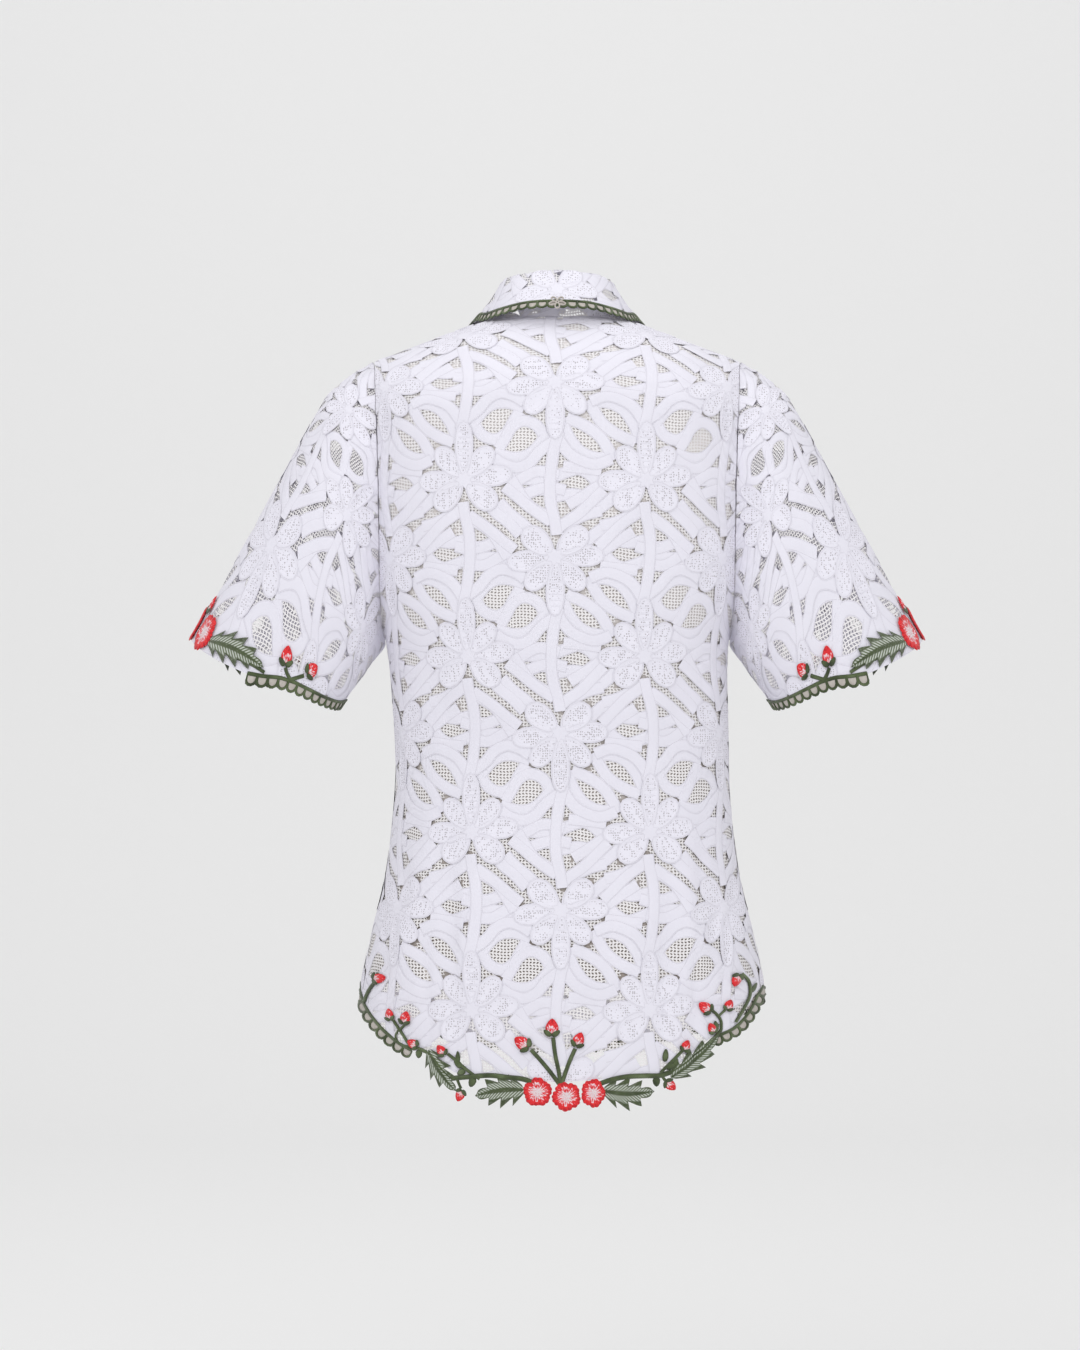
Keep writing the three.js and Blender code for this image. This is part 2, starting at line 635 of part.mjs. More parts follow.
// The back's hem is scalloped at its sides only, where no leaves and flowers edge it.
const PLAIN_HEM_SHARE = 0.66;
const HEM_QUARTER = 268;
function hemEdging(side, first, last) {
  const quarter = HEM_QUARTER;
  const place = (length, drop) => {
    const centre = side > 0 ? 0 : Math.sign(first + last) * CENTRE_SHARE;
    const share = endShare(length / quarter + (length === 0 ? centre : 0));
    const rise = hemEdgeHeight(side, share + SHARE_STEP) - hemEdgeHeight(side, share - SHARE_STEP);
    const slope = rise / (2 * SHARE_STEP * quarter);
    return [share, hemEdgeHeight(side, share) - drop * Math.hypot(1, slope)];
  };
  const ends = side > 0 ? [-1, -PLAIN_HEM_SHARE, PLAIN_HEM_SHARE, 1] : [first, last];
  const cells = [];
  for (let i = 0; i < ends.length - 1; i += 1) {
    const scalloped = side < 0 || i !== 1;
    cells.push(...scallopCells(place, ends[i] * quarter, ends[i + 1] * quarter, scalloped));
  }
  return sheet(bodySurface(side), cells, STITCHING_THICKNESS / 2 - LACE_THICKNESS / 2, -LACE_THICKNESS);
}

// The cuff's edging runs round the whole sleeve. Its places are a length round the ring.
const SCALLOPED_CUFF = 118;

// How much of the way down a sleeve a millimetre is, at its hem.
function hemStep(surface, turn) {
  const part = 0.05;
  return part / surface.at(turn, 1).distanceTo(surface.at(turn, 1 - part));
}
function cuffEdging(wearerSide) {
  const surface = ringSurface(wearerSide);
  const place = (length, drop) => {
    const turn = length / CUFF_HALF;
    return [turn, 1 + drop * hemStep(surface, turn)];
  };
  const marks = [0, SCALLOPED_CUFF, 2 * CUFF_HALF - SCALLOPED_CUFF, 2 * CUFF_HALF];
  const cells = [];
  for (let i = 0; i < 3; i += 1) cells.push(...scallopCells(place, marks[i], marks[i + 1], i !== 1));
  return sheet(surface, cells, STITCHING_THICKNESS / 2 - LACE_THICKNESS / 2, -LACE_THICKNESS);
}

// The collar's scallops are a little shorter than the hem's.
const COLLAR_SCALLOP = 0.8;
function collarEdging() {
  const half = COLLAR_STATIONS.length - 1;
  const surface = collarSurface();
  const lengths = [0];
  const fine = 200;
  for (let i = 1; i <= fine; i += 1) {
    const a = surface.at(lerp(-half, half, (i - 1) / fine), 3);
    lengths.push(lengths[i - 1] + a.distanceTo(surface.at(lerp(-half, half, i / fine), 3)));
  }
  const total = lengths[fine];
  const place = (length, drop) => {
    let i = 1;
    while (i < fine && lengths[i] < length) i += 1;
    const part = clamp((length - lengths[i - 1]) / (lengths[i] - lengths[i - 1]), 0, 1);
    const station = lerp(-half, half, (i - 1 + part) / fine);
    const fall = surface.at(station, 3).distanceTo(surface.at(station, 2));
    return [station, 3 + (drop * COLLAR_SCALLOP) / fall];
  };
  const cells = scallopCells(place, 0, total, true, COLLAR_EDGE_CLEARANCE);
  return sheet(surface, cells, LACE_THICKNESS / 2, -LACE_THICKNESS / 2);
}

// Embroidery
// place turns flat coordinates into a place of the surface that the stitching lies on.
const STEM_WIDTH = 3.4;
function stitched(surface, cells) {
  return sheet(surface, cells, STITCHING_GAP + STITCHING_THICKNESS, STITCHING_GAP);
}

// The two sides of a stem at each of its points.
function stemSides(points, width) {
  return points.map(([x, y], i) => {
    const before = points[Math.max(i - 1, 0)];
    const after = points[Math.min(i + 1, points.length - 1)];
    const length = Math.hypot(after[0] - before[0], after[1] - before[1]);
    const nx = (-(after[1] - before[1]) / length) * (width / 2);
    const ny = ((after[0] - before[0]) / length) * (width / 2);
    return { left: [x + nx, y + ny], right: [x - nx, y - ny] };
  });
}

// A bud at the end of its stem is a pointed oval between two small leaves. Its outline is in shares
// of its size, from the end of the stem.
const BUD = [[0.75, -0.75], [0.7, -0.42], [1.1, -0.4], [1.7, 0], [1.1, 0.4], [0.7, 0.42], [0.75, 0.75]];
function budOutline(points, size) {
  const [before, at] = points.slice(-2);
  const length = Math.hypot(at[0] - before[0], at[1] - before[1]);
  const ux = ((at[0] - before[0]) / length) * size;
  const uy = ((at[1] - before[1]) / length) * size;
  return BUD.map(([ahead, aside]) => [at[0] + ux * ahead - uy * aside, at[1] + uy * ahead + ux * aside]);
}

// A spray is one main stem and branches, each with a bud. A branch grows out of one stretch of the
// main stem's side: from counts the stretches, and side is 1 on the left and -1 on the right.
function spray(surface, place, stems) {
  const cells = [];
  const main = stemSides(stems[0].points, stems[0].width);
  for (const row of stems) {
    const sides = stemSides(row.points, row.width);
    if (row.side === 1) sides.unshift({ left: main[row.from].left, right: main[row.from + 1].left });
    if (row.side === -1) sides.unshift({ left: main[row.from + 1].right, right: main[row.from].right });
    const outlines = sides.slice(1).map((next, i) => [sides[i].left, sides[i].right, next.right, next.left]);
    const end = sides[sides.length - 1];
    outlines.push([end.right, ...budOutline(row.points, row.bud), end.left]);
    for (const outline of outlines) cells.push({ outline: outline.map(([x, y]) => place(x, y)), hole: null });
  }
  return stitched(surface, cells);
}

// A leaf between two points, one cell for each pair of its saw teeth.
const LEAF_TEETH = 4;
const TOOTH_TIP = 0.7;
const TOOTH_NOTCH = 0.62;
const LEAF_FULLNESS = 0.8;
function leaf(surface, place, from, to, width, teeth) {
  const dx = to[0] - from[0];
  const dy = to[1] - from[1];
  const length = Math.hypot(dx, dy);
  const ux = dx / length;
  const uy = dy / length;
  const at = (t, off) => place(from[0] + dx * t - uy * off, from[1] + dy * t + ux * off);
  const half = (t) => (width / 2) * Math.sin(Math.PI * t ** LEAF_FULLNESS) ** LEAF_FULLNESS;
  const cells = [];
  for (let i = 0; i < teeth; i += 1) {
    const low = i / teeth;
    const high = (i + 1) / teeth;
    const tip = low + TOOTH_TIP / teeth;
    const notch = TOOTH_NOTCH;
    const outline = [at(low, -half(low) * notch), at(tip, -half(tip)), at(high, -half(high) * notch)];
    outline.push(at(high, half(high) * notch), at(tip, half(tip)), at(low, half(low) * notch));
    cells.push({ outline, hole: null });
  }
  return stitched(surface, cells);
}

// A flower of five rounded petals, each one cell from its heart outwards.
const PETALS = 5;
const PETAL_DIP = 0.8;
function flower(surface, place, at, radius) {
  const rim = (quarters, share) => {
    const angle = (quarters / (4 * PETALS)) * 2 * Math.PI;
    return place(at[0] + share * radius * Math.cos(angle), at[1] + share * radius * Math.sin(angle));
  };
  const cells = [];
  for (let i = 0; i < 4 * PETALS; i += 4) {
    const petal = [rim(i, PETAL_DIP), rim(i + 1, 1), rim(i + 3, 1), rim(i + 4, PETAL_DIP)];
    cells.push({ outline: [place(at[0], at[1]), ...petal], hole: null });
  }
  return stitched(surface, cells);
}

// On the back the flat coordinates are the place across and the height, as seen from behind.
const onBack = (mirror) => (x, z) => [shareOfX(mirror * x, z), z];

// The hem's vine runs from the flowers in the middle along the edge to the side seam.
const SIDE_VINE = [
  [68, -669], [81, -670.5], [94, -668.5], [106, -663.5], [116, -657], [125, -650], [133, -644],
  [142, -639.5], [151, -634], [161, -626.5], [170, -618], [178, -607.5], [182, -597], [180, -586.5],
  [174, -580], [169.5, -581],
];
const hemVine = (innerEnd) => [
  { points: [[innerEnd, -670.5], [(68 + innerEnd) / 2, -669], ...SIDE_VINE], width: STEM_WIDTH, bud: 8 },
  { from: 9, side: 1, points: [[149, -626], [149, -618], [145, -611]], width: 2.5, bud: 8 },
  { from: 2, side: 1, points: [[84, -665], [95, -656], [105, -649]], width: 2.8, bud: 8 },
];
const HEM_LEAVES = [
  { name: "outer", from: [101, -675], to: [147, -648], width: 11 },
  { name: "inner", from: [49, -684], to: [90, -682], width: 17 },
];
const HEM_FLOWERS = [
  { name: "left", at: [18, -682] },
  { name: "middle", at: [-7.6, -685.5] },
  { name: "right", at: [-33.2, -683] },
];
const HEM_FLOWER_RADIUS = 12.4;
const VINE_ENDS = { left: 34, right: 50 };

const HEM_SPRAY = [
  { points: [[-4, -671], [-1, -664], [2, -652], [4.5, -639]], width: STEM_WIDTH, bud: 10 },
  { from: 0, side: 1, points: [[-8, -662], [-13, -655], [-17, -647]], width: STEM_WIDTH, bud: 10 },
  { from: 0, side: -1, points: [[5, -662], [12, -656], [21, -649]], width: STEM_WIDTH, bud: 10 },
];

// On a cuff the flat coordinates are a length from the outer line and a height above the hem.
const onCuff = (surface, mirror) => (x, y) => {
  const turn = 1 - (mirror * x) / CUFF_HALF;
  return [turn, 1 - y * hemStep(surface, turn)];
};
const CUFF_SPRAY = [
  { points: [[106, 8], [118, 8.5], [128, 12], [131, 19], [127, 26]], width: STEM_WIDTH, bud: 8 },
  { from: 2, side: -1, points: [[136, 18], [141, 25]], width: 2.8, bud: 8 },
];
const CUFF_LEAF = { from: [46, 10], to: [103, 9], width: 14 };
const CUFF_FLOWER_RADIUS = 11.5;
const CUFF_FLOWERS = [
  { name: "back", x: 28 },
  { name: "middle", x: 0 },
  { name: "front", x: -28 },
];
const CUFF_FLOWER_HEIGHT = 14;

// The whole garment
const garment = new THREE.Group();
garment.name = "kebaya";

function addPiece(name, geometry, colour, roughness) {
  const material = new THREE.MeshStandardMaterial({ color: colour, roughness, metalness: 0 });
  const mesh = new THREE.Mesh(geometry, material);
  mesh.name = name;
  garment.add(mesh);
}

const LACE_ROUGHNESS = 0.85;
const LINING_ROUGHNESS = 0.7;
const STITCHING_ROUGHNESS = 0.5;
const PANELS = [
  { name: "back", side: 1, first: -HALF_COLUMNS, last: HALF_COLUMNS },
  { name: "front_left", side: -1, first: 0, last: HALF_COLUMNS },
  { name: "front_right", side: -1, first: -HALF_COLUMNS, last: 0 },
];
const liningTop = -LACE_THICKNESS - LINING_GAP;
for (const panel of PANELS) {
  const surface = bodySurface(panel.side);
  const lace = panelCells(panel.side, panel.first, panel.last, true);
  addPiece(panel.name, sheet(surface, lace, 0, -LACE_THICKNESS), COLOURS.lace, LACE_ROUGHNESS);
  const plain = panelCells(panel.side, panel.first, panel.last, false);
  const lining = sheet(bodySurface(panel.side, false), plain, liningTop, liningTop - LINING_THICKNESS);
  addPiece(`lining_${panel.name}`, lining, COLOURS.lining, LINING_ROUGHNESS);
  const edging = hemEdging(panel.side, panel.first / HALF_COLUMNS, panel.last / HALF_COLUMNS);
  addPiece(`hem_edging_${panel.name}`, edging, COLOURS.green, STITCHING_ROUGHNESS);
}

const WEARER_SIDES = [{ name: "left", sign: 1 }, { name: "right", sign: -1 }];
const addStitched = (name, geometry, colour) => addPiece(name, geometry, colour, STITCHING_ROUGHNESS);
for (const { name, sign } of WEARER_SIDES) {
  addPiece(`sleeve_${name}_back`, sleeveHalf(1, sign), COLOURS.lace, LACE_ROUGHNESS);
  addPiece(`sleeve_${name}_front`, sleeveHalf(-1, sign), COLOURS.lace, LACE_ROUGHNESS);
  addStitched(`cuff_edging_${name}`, cuffEdging(sign), COLOURS.green);
  const back = bodySurface(1);
  addStitched(`hem_vine_${name}`, spray(back, onBack(sign), hemVine(VINE_ENDS[name])), COLOURS.green);
  for (const row of HEM_LEAVES) {
    const piece = leaf(back, onBack(sign), row.from, row.to, row.width, LEAF_TEETH);
    addStitched(`hem_leaf_${name}_${row.name}`, piece, COLOURS.green);
  }
  const cuff = ringSurface(sign);
  for (const [half, mirror] of [["back", 1], ["front", -1]]) {
    const place = onCuff(cuff, mirror);
    addStitched(`cuff_spray_${name}_${half}`, spray(cuff, place, CUFF_SPRAY), COLOURS.green);
    const piece = leaf(cuff, place, CUFF_LEAF.from, CUFF_LEAF.to, CUFF_LEAF.width, LEAF_TEETH);
    addStitched(`cuff_leaf_${name}_${half}`, piece, COLOURS.green);
  }
  for (const row of CUFF_FLOWERS) {
    const piece = flower(cuff, onCuff(cuff, 1), [row.x, CUFF_FLOWER_HEIGHT], CUFF_FLOWER_RADIUS);
    addStitched(`cuff_flower_${name}_${row.name}`, piece, COLOURS.red);
  }
}

addPiece("collar", collar(), COLOURS.lace, LACE_ROUGHNESS);
addStitched("collar_edging", collarEdging(), COLOURS.green);
addStitched("hem_spray", spray(bodySurface(1), onBack(1), HEM_SPRAY), COLOURS.green);
for (const row of HEM_FLOWERS) {
  const piece = flower(bodySurface(1), onBack(1), row.at, HEM_FLOWER_RADIUS);
  addStitched(`hem_flower_${row.name}`, piece, COLOURS.red);
}

export default garment;
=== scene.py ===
# %% [markdown]
# A short-sleeved lace kebaya, seen from behind, filled out as when it is worn, with nobody in it.
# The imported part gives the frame. Every piece of cloth here is laid on the same curved forms as its
# solid, so the looks and the solids agree. Lengths are in millimetres until a mesh is finished,
# because cloth is cut and stitched in millimetres, and then they become metres.

# %% Load the frame
import math

import bmesh
import bpy
import numpy as np
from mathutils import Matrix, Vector


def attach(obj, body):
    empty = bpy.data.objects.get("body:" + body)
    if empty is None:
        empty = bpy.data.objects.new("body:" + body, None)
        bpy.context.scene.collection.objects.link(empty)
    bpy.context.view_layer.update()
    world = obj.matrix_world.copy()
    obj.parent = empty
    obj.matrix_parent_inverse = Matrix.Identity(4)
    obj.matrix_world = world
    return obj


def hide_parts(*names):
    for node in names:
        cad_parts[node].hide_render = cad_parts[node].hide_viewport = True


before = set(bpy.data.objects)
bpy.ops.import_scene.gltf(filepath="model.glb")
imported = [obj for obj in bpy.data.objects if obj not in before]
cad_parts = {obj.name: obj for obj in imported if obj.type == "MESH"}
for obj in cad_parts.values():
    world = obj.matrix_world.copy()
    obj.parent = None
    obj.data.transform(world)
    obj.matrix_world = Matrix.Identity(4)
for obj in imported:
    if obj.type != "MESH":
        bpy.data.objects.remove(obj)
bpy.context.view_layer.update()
print("nodes in the frame:", len(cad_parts))

# %% [markdown]
# Sizes of the garment. The levels of the body, the rings of the sleeves and the stations of the
# collar are those of the solids, so the thin cloth here lies on the walls that hold it up. Only the
# back of the collar's edge is set about 5 mm lower, to meet the photograph.

# %% Sizes
MM = 0.001
LINING_DEPTH = 2.2
STITCHING_GAP = 0.9
STITCHING_SINK = 0.3
LACE_RISE = -0.7
FRONT_GAP_HALF = 0.3
UNDERARM_Z = -279
ARMHOLE_CURVE_Z = -232
ARMHOLE_CURVE = 1.4
SIDE_HEM_Z = -598
LINING_HEM_Z = -590
BACK_HEM_DROP = 90
FRONT_HEM_DROP = 62
HEM_ROUNDNESS = 0.7
SECTION_POWER = 2.3
BODY_LEAN = 5
LEAN_FROM_Z = -250
LEAN_OVER = 150
ARMHOLE_SHARE = 5 / 6
SHOULDER_SLOPE = 0.372
NECK_HALF_WIDTH = 62
NECK_SIDE_Z = 25
NECK_BACK_DEPTH = 57
NECK_FRONT_Z = -70
NECK_FRONT_CURVE = 1.15
SHOULDER_TIP_X = 170
RIDGE_Y = -5
SHOULDER_ROUNDING = 95
ROUNDING_TAPER = 0.2
CUFF_HALF = 215
ARMHOLE_CLEARANCE = 0.5
ARMHOLE_REACH = 0.45
FOLD_FADE_UP = 90
FOLD_FADE_DOWN = 60
SIDE_SEAM_SHARE = 0.9985
COLLAR_LIFT = 2.2
COLLAR_FOLD_RADIUS = 3
COLLAR_SEAM = 3.5
SIDES = {1: "left", -1: "right"}


def rows(names, *values):
    """The rows of a table, each with its values under the columns' names."""
    return [dict(zip(names.split(), row)) for row in values]


BODY_LEVELS = rows(
    "z half back front",
    (-760, 197, 125, 116),
    (-600, 188, 118, 112),
    (-544, 177, 111, 107),
    (-488, 164, 102, 102),
    (-405, 155.5, 92, 100),
    (-330, 156, 95, 112),
    (-279, 159, 99, 116),
    (-230, 170, 102, 112),
    (-147, 178, 104, 104),
    (-60, 184, 104, 94),
    (120, 192, 104, 84),
)
SLEEVE_RINGS = rows(
    "topX topZ underX underZ half dip",
    (170, -15, 159, -279, 52, 0),
    (194, -29, 162, -284, 60, 1),
    (214, -47, 167, -290, 65, 2),
    (232, -78, 173, -298, 67, 3.5),
    (252, -115, 180, -307, 67, 5),
    (280, -165, 187, -317, 66, 6.5),
    (309, -219, 194.5, -327, 64, 8),
    (339, -274, 202, -338, 62, 9),
)
COLLAR_STATIONS = rows(
    "foldX foldY foldZ edgeX edgeY edgeZ",
    (0, 46, 65, 0, 68, 35),
    (20, 42, 64, 27, 63, 34),
    (37, 31, 62, 49, 49, 30),
    (48, 14, 59, 64, 25, 27),
    (51, -5, 55, 72, -5, 28),
    (49, -28, 45, 80, -38, 16),
    (41, -53, 27, 79, -74, -12),
    (27, -80, -6, 67, -96, -47),
    (10, -100, -48, 48, -108, -88),
)

# Soft folds of the body: at is a share of the quarter girth, and low and high are heights.
BODY_FOLDS = rows(
    "side at width rise low high",
    (1, -0.52, 0.11, 4.5, -605, -430),
    (1, -0.27, 0.09, 3.0, -600, -470),
    (1, 0.38, 0.10, 3.5, -605, -450),
    (1, 0.62, 0.11, 4.5, -605, -420),
    (-1, -0.55, 0.12, 4.0, -640, -440),
    (-1, 0.48, 0.12, 4.5, -630, -430),
)

# Small soft creases: x and z are the middle, and lean is how far aside a crease runs for each
# millimetre up.
BODY_CREASES = rows(
    "side x z length width depth lean",
    (1, 112, -330, 90, 13, 1.8, 0.15),
    (1, -108, -345, 110, 14, 1.8, -0.2),
    (1, 104, -560, 130, 9, 1.7, 0.05),
    (1, -92, -575, 120, 10, 1.6, -0.07),
    (1, 140, -520, 100, 9, 1.6, 0.22),
    (1, -138, -535, 110, 9, 1.6, -0.2),
    (1, 58, -170, 80, 16, -1.2, 0.5),
    (1, 163, -570, 170, 4.5, 1.5, 0.08),
    (1, 124, -590, 240, 4.5, 1.7, 0.05),
    (1, 98, -560, 290, 4.0, 1.5, 0.03),
    (1, -93, -570, 260, 4.0, 1.5, -0.03),
    (1, -121, -580, 270, 4.5, 1.7, -0.05),
    (1, -151, -555, 190, 4.5, 1.5, -0.1),
    (1, 2, -20, 150, 3.5, 0.9, -0.06),
    (1, -66, -150, 70, 15, -1.2, -0.45),
    (-1, 110, -340, 100, 14, 1.8, 0.2),
    (-1, -104, -325, 90, 13, 1.8, -0.15),
    (-1, 70, -540, 120, 11, 1.6, 0.1),
    (-1, -82, -550, 110, 10, 1.6, -0.1),
)
print("levels, rings and stations:", len(BODY_LEVELS), len(SLEEVE_RINGS), len(COLLAR_STATIONS))

# %% [markdown]
# Helpers that read the tables. A smooth curve runs through the rows of a table, as a French curve
# would join the marks on a paper pattern. They work on whole arrays of places at once, because the
# lace has many thousands of corners.


# %% Table helpers
def columns(table_rows):
    return {name: np.array([row[name] for row in table_rows], dtype=float) for name in table_rows[0]}


def smooth(t):
    c = np.clip(t, 0, 1)
    return c * c * (3 - 2 * c)


def path_lengths(path):
    return np.concatenate([[0], np.cumsum(np.linalg.norm(np.diff(path, axis=0), axis=1))])


def unit(vectors):
    return vectors / np.linalg.norm(vectors, axis=-1, keepdims=True)


def table_value(table, key, place, column):
    """A column's value on a smooth curve through the rows, straight on past the last one."""
    keys = table[key]
    values = table[column]
    last = len(keys) - 1
    place = np.asarray(place, dtype=float)
    i = np.clip(np.searchsorted(keys, place) - 1, 0, last - 1)
    low = np.maximum(i - 1, 0)
    high = np.minimum(i + 2, last)
    start = (values[i + 1] - values[low]) / (keys[i + 1] - keys[low])
    end = (values[high] - values[i]) / (keys[high] - keys[i])
    span = keys[i + 1] - keys[i]
    t = np.clip((place - keys[i]) / span, 0, 1)
    t2 = t * t
    t3 = t2 * t
    value = (2 * t3 - 3 * t2 + 1) * values[i] + (t3 - 2 * t2 + t) * span * start
    value = value + (3 * t2 - 2 * t3) * values[i + 1] + (t3 - t2) * span * end
    past = np.maximum(place - keys[last], 0)
    return value + past * (values[last] - values[last - 1]) / (keys[last] - keys[last - 1])


LEVELS = columns(BODY_LEVELS)
RINGS = columns([dict(row, at=i / (len(SLEEVE_RINGS) - 1)) for i, row in enumerate(SLEEVE_RINGS)])

# %% [markdown]
# The body's form. A section of the body is a rounded oval, and a place on it is a share of the
# quarter girth, so equal shares lie equally far apart on the cloth. Above the bust the cloth rounds
# over to the shoulder seams. Folds and creases are soft ridges and troughs added to the depth.


# %% Body form
def across(turn):
    return np.sign(np.sin(turn)) * np.abs(np.sin(turn)) ** (2 / SECTION_POWER)


def along(turn):
    return np.sign(np.cos(turn)) * np.abs(np.cos(turn)) ** (2 / SECTION_POWER)


GIRTH_TURNS = np.linspace(0, math.pi / 2, 181)
GIRTH_HALF = 165
GIRTH_DEEP = 104


def section_lengths(half, deep):
    x = half * across(GIRTH_TURNS)
    y = deep * along(GIRTH_TURNS)
    return np.concatenate([[0], np.cumsum(np.hypot(np.diff(x), np.diff(y)))])


GIRTH_LENGTHS = section_lengths(GIRTH_HALF, GIRTH_DEEP)
GIRTH_SHARES = GIRTH_LENGTHS / GIRTH_LENGTHS[-1]


def turn_at(share):
    return np.sign(share) * np.interp(np.abs(share), GIRTH_SHARES, GIRTH_TURNS)


def share_at(turn):
    return np.sign(turn) * np.interp(np.abs(turn), GIRTH_TURNS, GIRTH_SHARES)


def level(name, height):
    """The body's half width or depth at a height."""
    return table_value(LEVELS, "z", height, name)


def depth_at(side, height):
    return level("back" if side > 0 else "front", height)


def x_of_share(share, height):
    return level("half", height) * across(turn_at(share))


def shoulder_top(x):
    out = np.abs(x)
    sloped = NECK_SIDE_Z - SHOULDER_SLOPE * (out - NECK_HALF_WIDTH)
    middle = NECK_SIDE_Z + SHOULDER_SLOPE * NECK_HALF_WIDTH / 2
    rounded = middle - SHOULDER_SLOPE / (2 * NECK_HALF_WIDTH) * out * out
    return np.where(out > NECK_HALF_WIDTH, sloped, rounded)


def rounding_at(x):
    return SHOULDER_ROUNDING - ROUNDING_TAPER * np.abs(x)


def fold_rise(side, share, height, x):
    rise = np.zeros_like(height)
    for fold in BODY_FOLDS:
        if fold["side"] == side:
            off = np.minimum(np.abs(share - fold["at"]) / fold["width"], 1)
            fade = smooth((fold["high"] - height) / FOLD_FADE_UP)
            reach = fade * smooth((height - fold["low"]) / FOLD_FADE_DOWN)
            rise += fold["rise"] * reach * 0.5 * (1 + np.cos(math.pi * off))
    for crease in BODY_CREASES:
        if crease["side"] == side:
            up = height - crease["z"]
            off = x - crease["x"] - crease["lean"] * up
            near = (off / crease["width"]) ** 2 + (2 * up / crease["length"]) ** 2
            rise -= crease["depth"] * np.exp(-near)
    return rise


def body_point(side, share, height):
    """A point of the body's outer face. side is 1 behind and -1 in front."""
    share, height = np.broadcast_arrays(np.asarray(share, float), np.asarray(height, float))
    turn = turn_at(share)
    half = level("half", height)
    deep = depth_at(side, height)
    a = across(turn)
    b = along(turn)
    folded = fold_rise(side, share, height, half * a) / np.hypot(a / half, b / deep)
    x = half * a + folded * a / half
    depth = deep * b + folded * b / deep
    rounding = rounding_at(x)
    start = shoulder_top(x) - rounding
    lean = -BODY_LEAN * smooth((LEAN_FROM_Z - height) / LEAN_OVER)
    reach = depth - side * RIDGE_Y
    bend = np.maximum(height - start, 0) / np.hypot(rounding, reach) * math.sqrt(2)
    bent = height > start
    y = np.where(bent, RIDGE_Y + side * reach * np.cos(bend), side * depth)
    z = np.where(bent, start + rounding * np.sin(bend), height)
    return np.stack([x + lean, y, z], axis=-1)


def share_of_x(x, height):
    sine = np.clip(np.abs(x) / level("half", height), 0, 1) ** (SECTION_POWER / 2)
    return np.sign(x) * share_at(np.arcsin(sine))


TOP_X = np.linspace(0, SHOULDER_TIP_X, 86)


def top_height_table(side):
    """How far up the cloth the shoulder seam or the neck's edge is, above each place of TOP_X."""
    rounding = rounding_at(TOP_X)
    start = shoulder_top(TOP_X) - rounding
    height = start + rounding
    neck_y = NECK_BACK_DEPTH * np.sqrt(np.maximum(1 - (TOP_X / NECK_HALF_WIDTH) ** 2, 0))
    for _ in range(6):
        reach = depth_at(side, height) * along(turn_at(share_of_x(TOP_X, height))) - side * RIDGE_Y
        bend = np.arccos(np.clip(neck_y / reach, 0, 1)) if side > 0 else math.pi / 2
        height = start + np.hypot(rounding, reach) / math.sqrt(2) * bend
    if side > 0:
        return height
    inner = np.interp(NECK_HALF_WIDTH, TOP_X, height)
    neck = NECK_FRONT_Z + (inner - NECK_FRONT_Z) * (TOP_X / NECK_HALF_WIDTH) ** NECK_FRONT_CURVE
    return np.where(TOP_X >= NECK_HALF_WIDTH, height, neck)


TOP_HEIGHTS = {1: top_height_table(1), -1: top_height_table(-1)}


def top_height(side, x):
    return np.interp(np.abs(x), TOP_X, TOP_HEIGHTS[side])


def hem_height(side, share):
    r = np.abs(across(turn_at(np.clip(share, -1, 1))))
    drop = BACK_HEM_DROP if side > 0 else FRONT_HEM_DROP
    return SIDE_HEM_Z - drop * np.maximum(1 - r * r, 0) ** HEM_ROUNDNESS


# A quarter of the girth at each height, so that cloth can be measured across in millimetres.
QUARTER_HEIGHTS = np.linspace(-740, 120, 87)
QUARTERS = {
    side: np.array([section_lengths(level("half", z), depth_at(side, z))[-1] for z in QUARTER_HEIGHTS])
    for side in (1, -1)
}


def quarter(side, height):
    return np.interp(height, QUARTER_HEIGHTS, QUARTERS[side])


def body_cloth(side):
    """A surface in cloth measure: millimetres across from the middle, and height up the cloth."""
    return lambda u, v: body_point(side, u / quarter(side, v), v)


def body_by_x(side):
    """A surface whose first measure is the place x as seen from straight behind or in front."""
    return lambda x, v: body_point(side, share_of_x(x, v), v)


print("quarter girth at the waist:", round(float(quarter(1, -405)), 1), "mm")

# %% [markdown]
# The outlines of the body's panels. Each outline is a measure of how far inside the panel a place
# is: above the hem, below the shoulder and neck, and on the body's side of the armhole. A cutter
# would follow the same lines with shears.


# %% Panel outlines
# The back's lace is cut along its vine, so these lines lie above the full hem there. They are
# places across and heights, for the wearer's left and right.
BACK_HEM_LINES = {
    1: [
        (0, -674), (30, -673), (48, -670), (66, -668.5), (85, -668.5), (98, -667), (110, -659),
        (125, -650.5), (137, -648), (160, -634), (190, -760),
    ],
    -1: [
        (0, -674), (36, -671.5), (66, -669.5), (92, -667), (104, -660), (118, -650), (130, -640),
        (138, -634.5), (147, -633), (157, -628), (165, -620.5), (172, -611), (178, -600), (190, -590),
    ],
}
CUFF_LINE = [
    (0, 0), (60, 0), (93, 1.5), (108, 5), (122, 9.5), (136, 11), (152, 10.5), (174, 9), (194, 8), (230, 8),
]


def lace_hem(side, share):
    lowest = hem_height(side, share)
    if side < 0:
        return lowest
    x = level("half", lowest) * across(turn_at(share))
    lines = {sign: np.interp(np.abs(x), *zip(*BACK_HEM_LINES[sign])) for sign in (1, -1)}
    return np.maximum(lowest, np.where(x > 0, lines[1], lines[-1]))


def armhole_bottom(share):
    """The armhole's edge under the arm: lower again towards the side seam."""
    near = np.clip((1 - np.abs(share)) / (1 - ARMHOLE_SHARE), 0, 1)
    return UNDERARM_Z + (ARMHOLE_CURVE_Z - UNDERARM_Z) * near ** ARMHOLE_CURVE


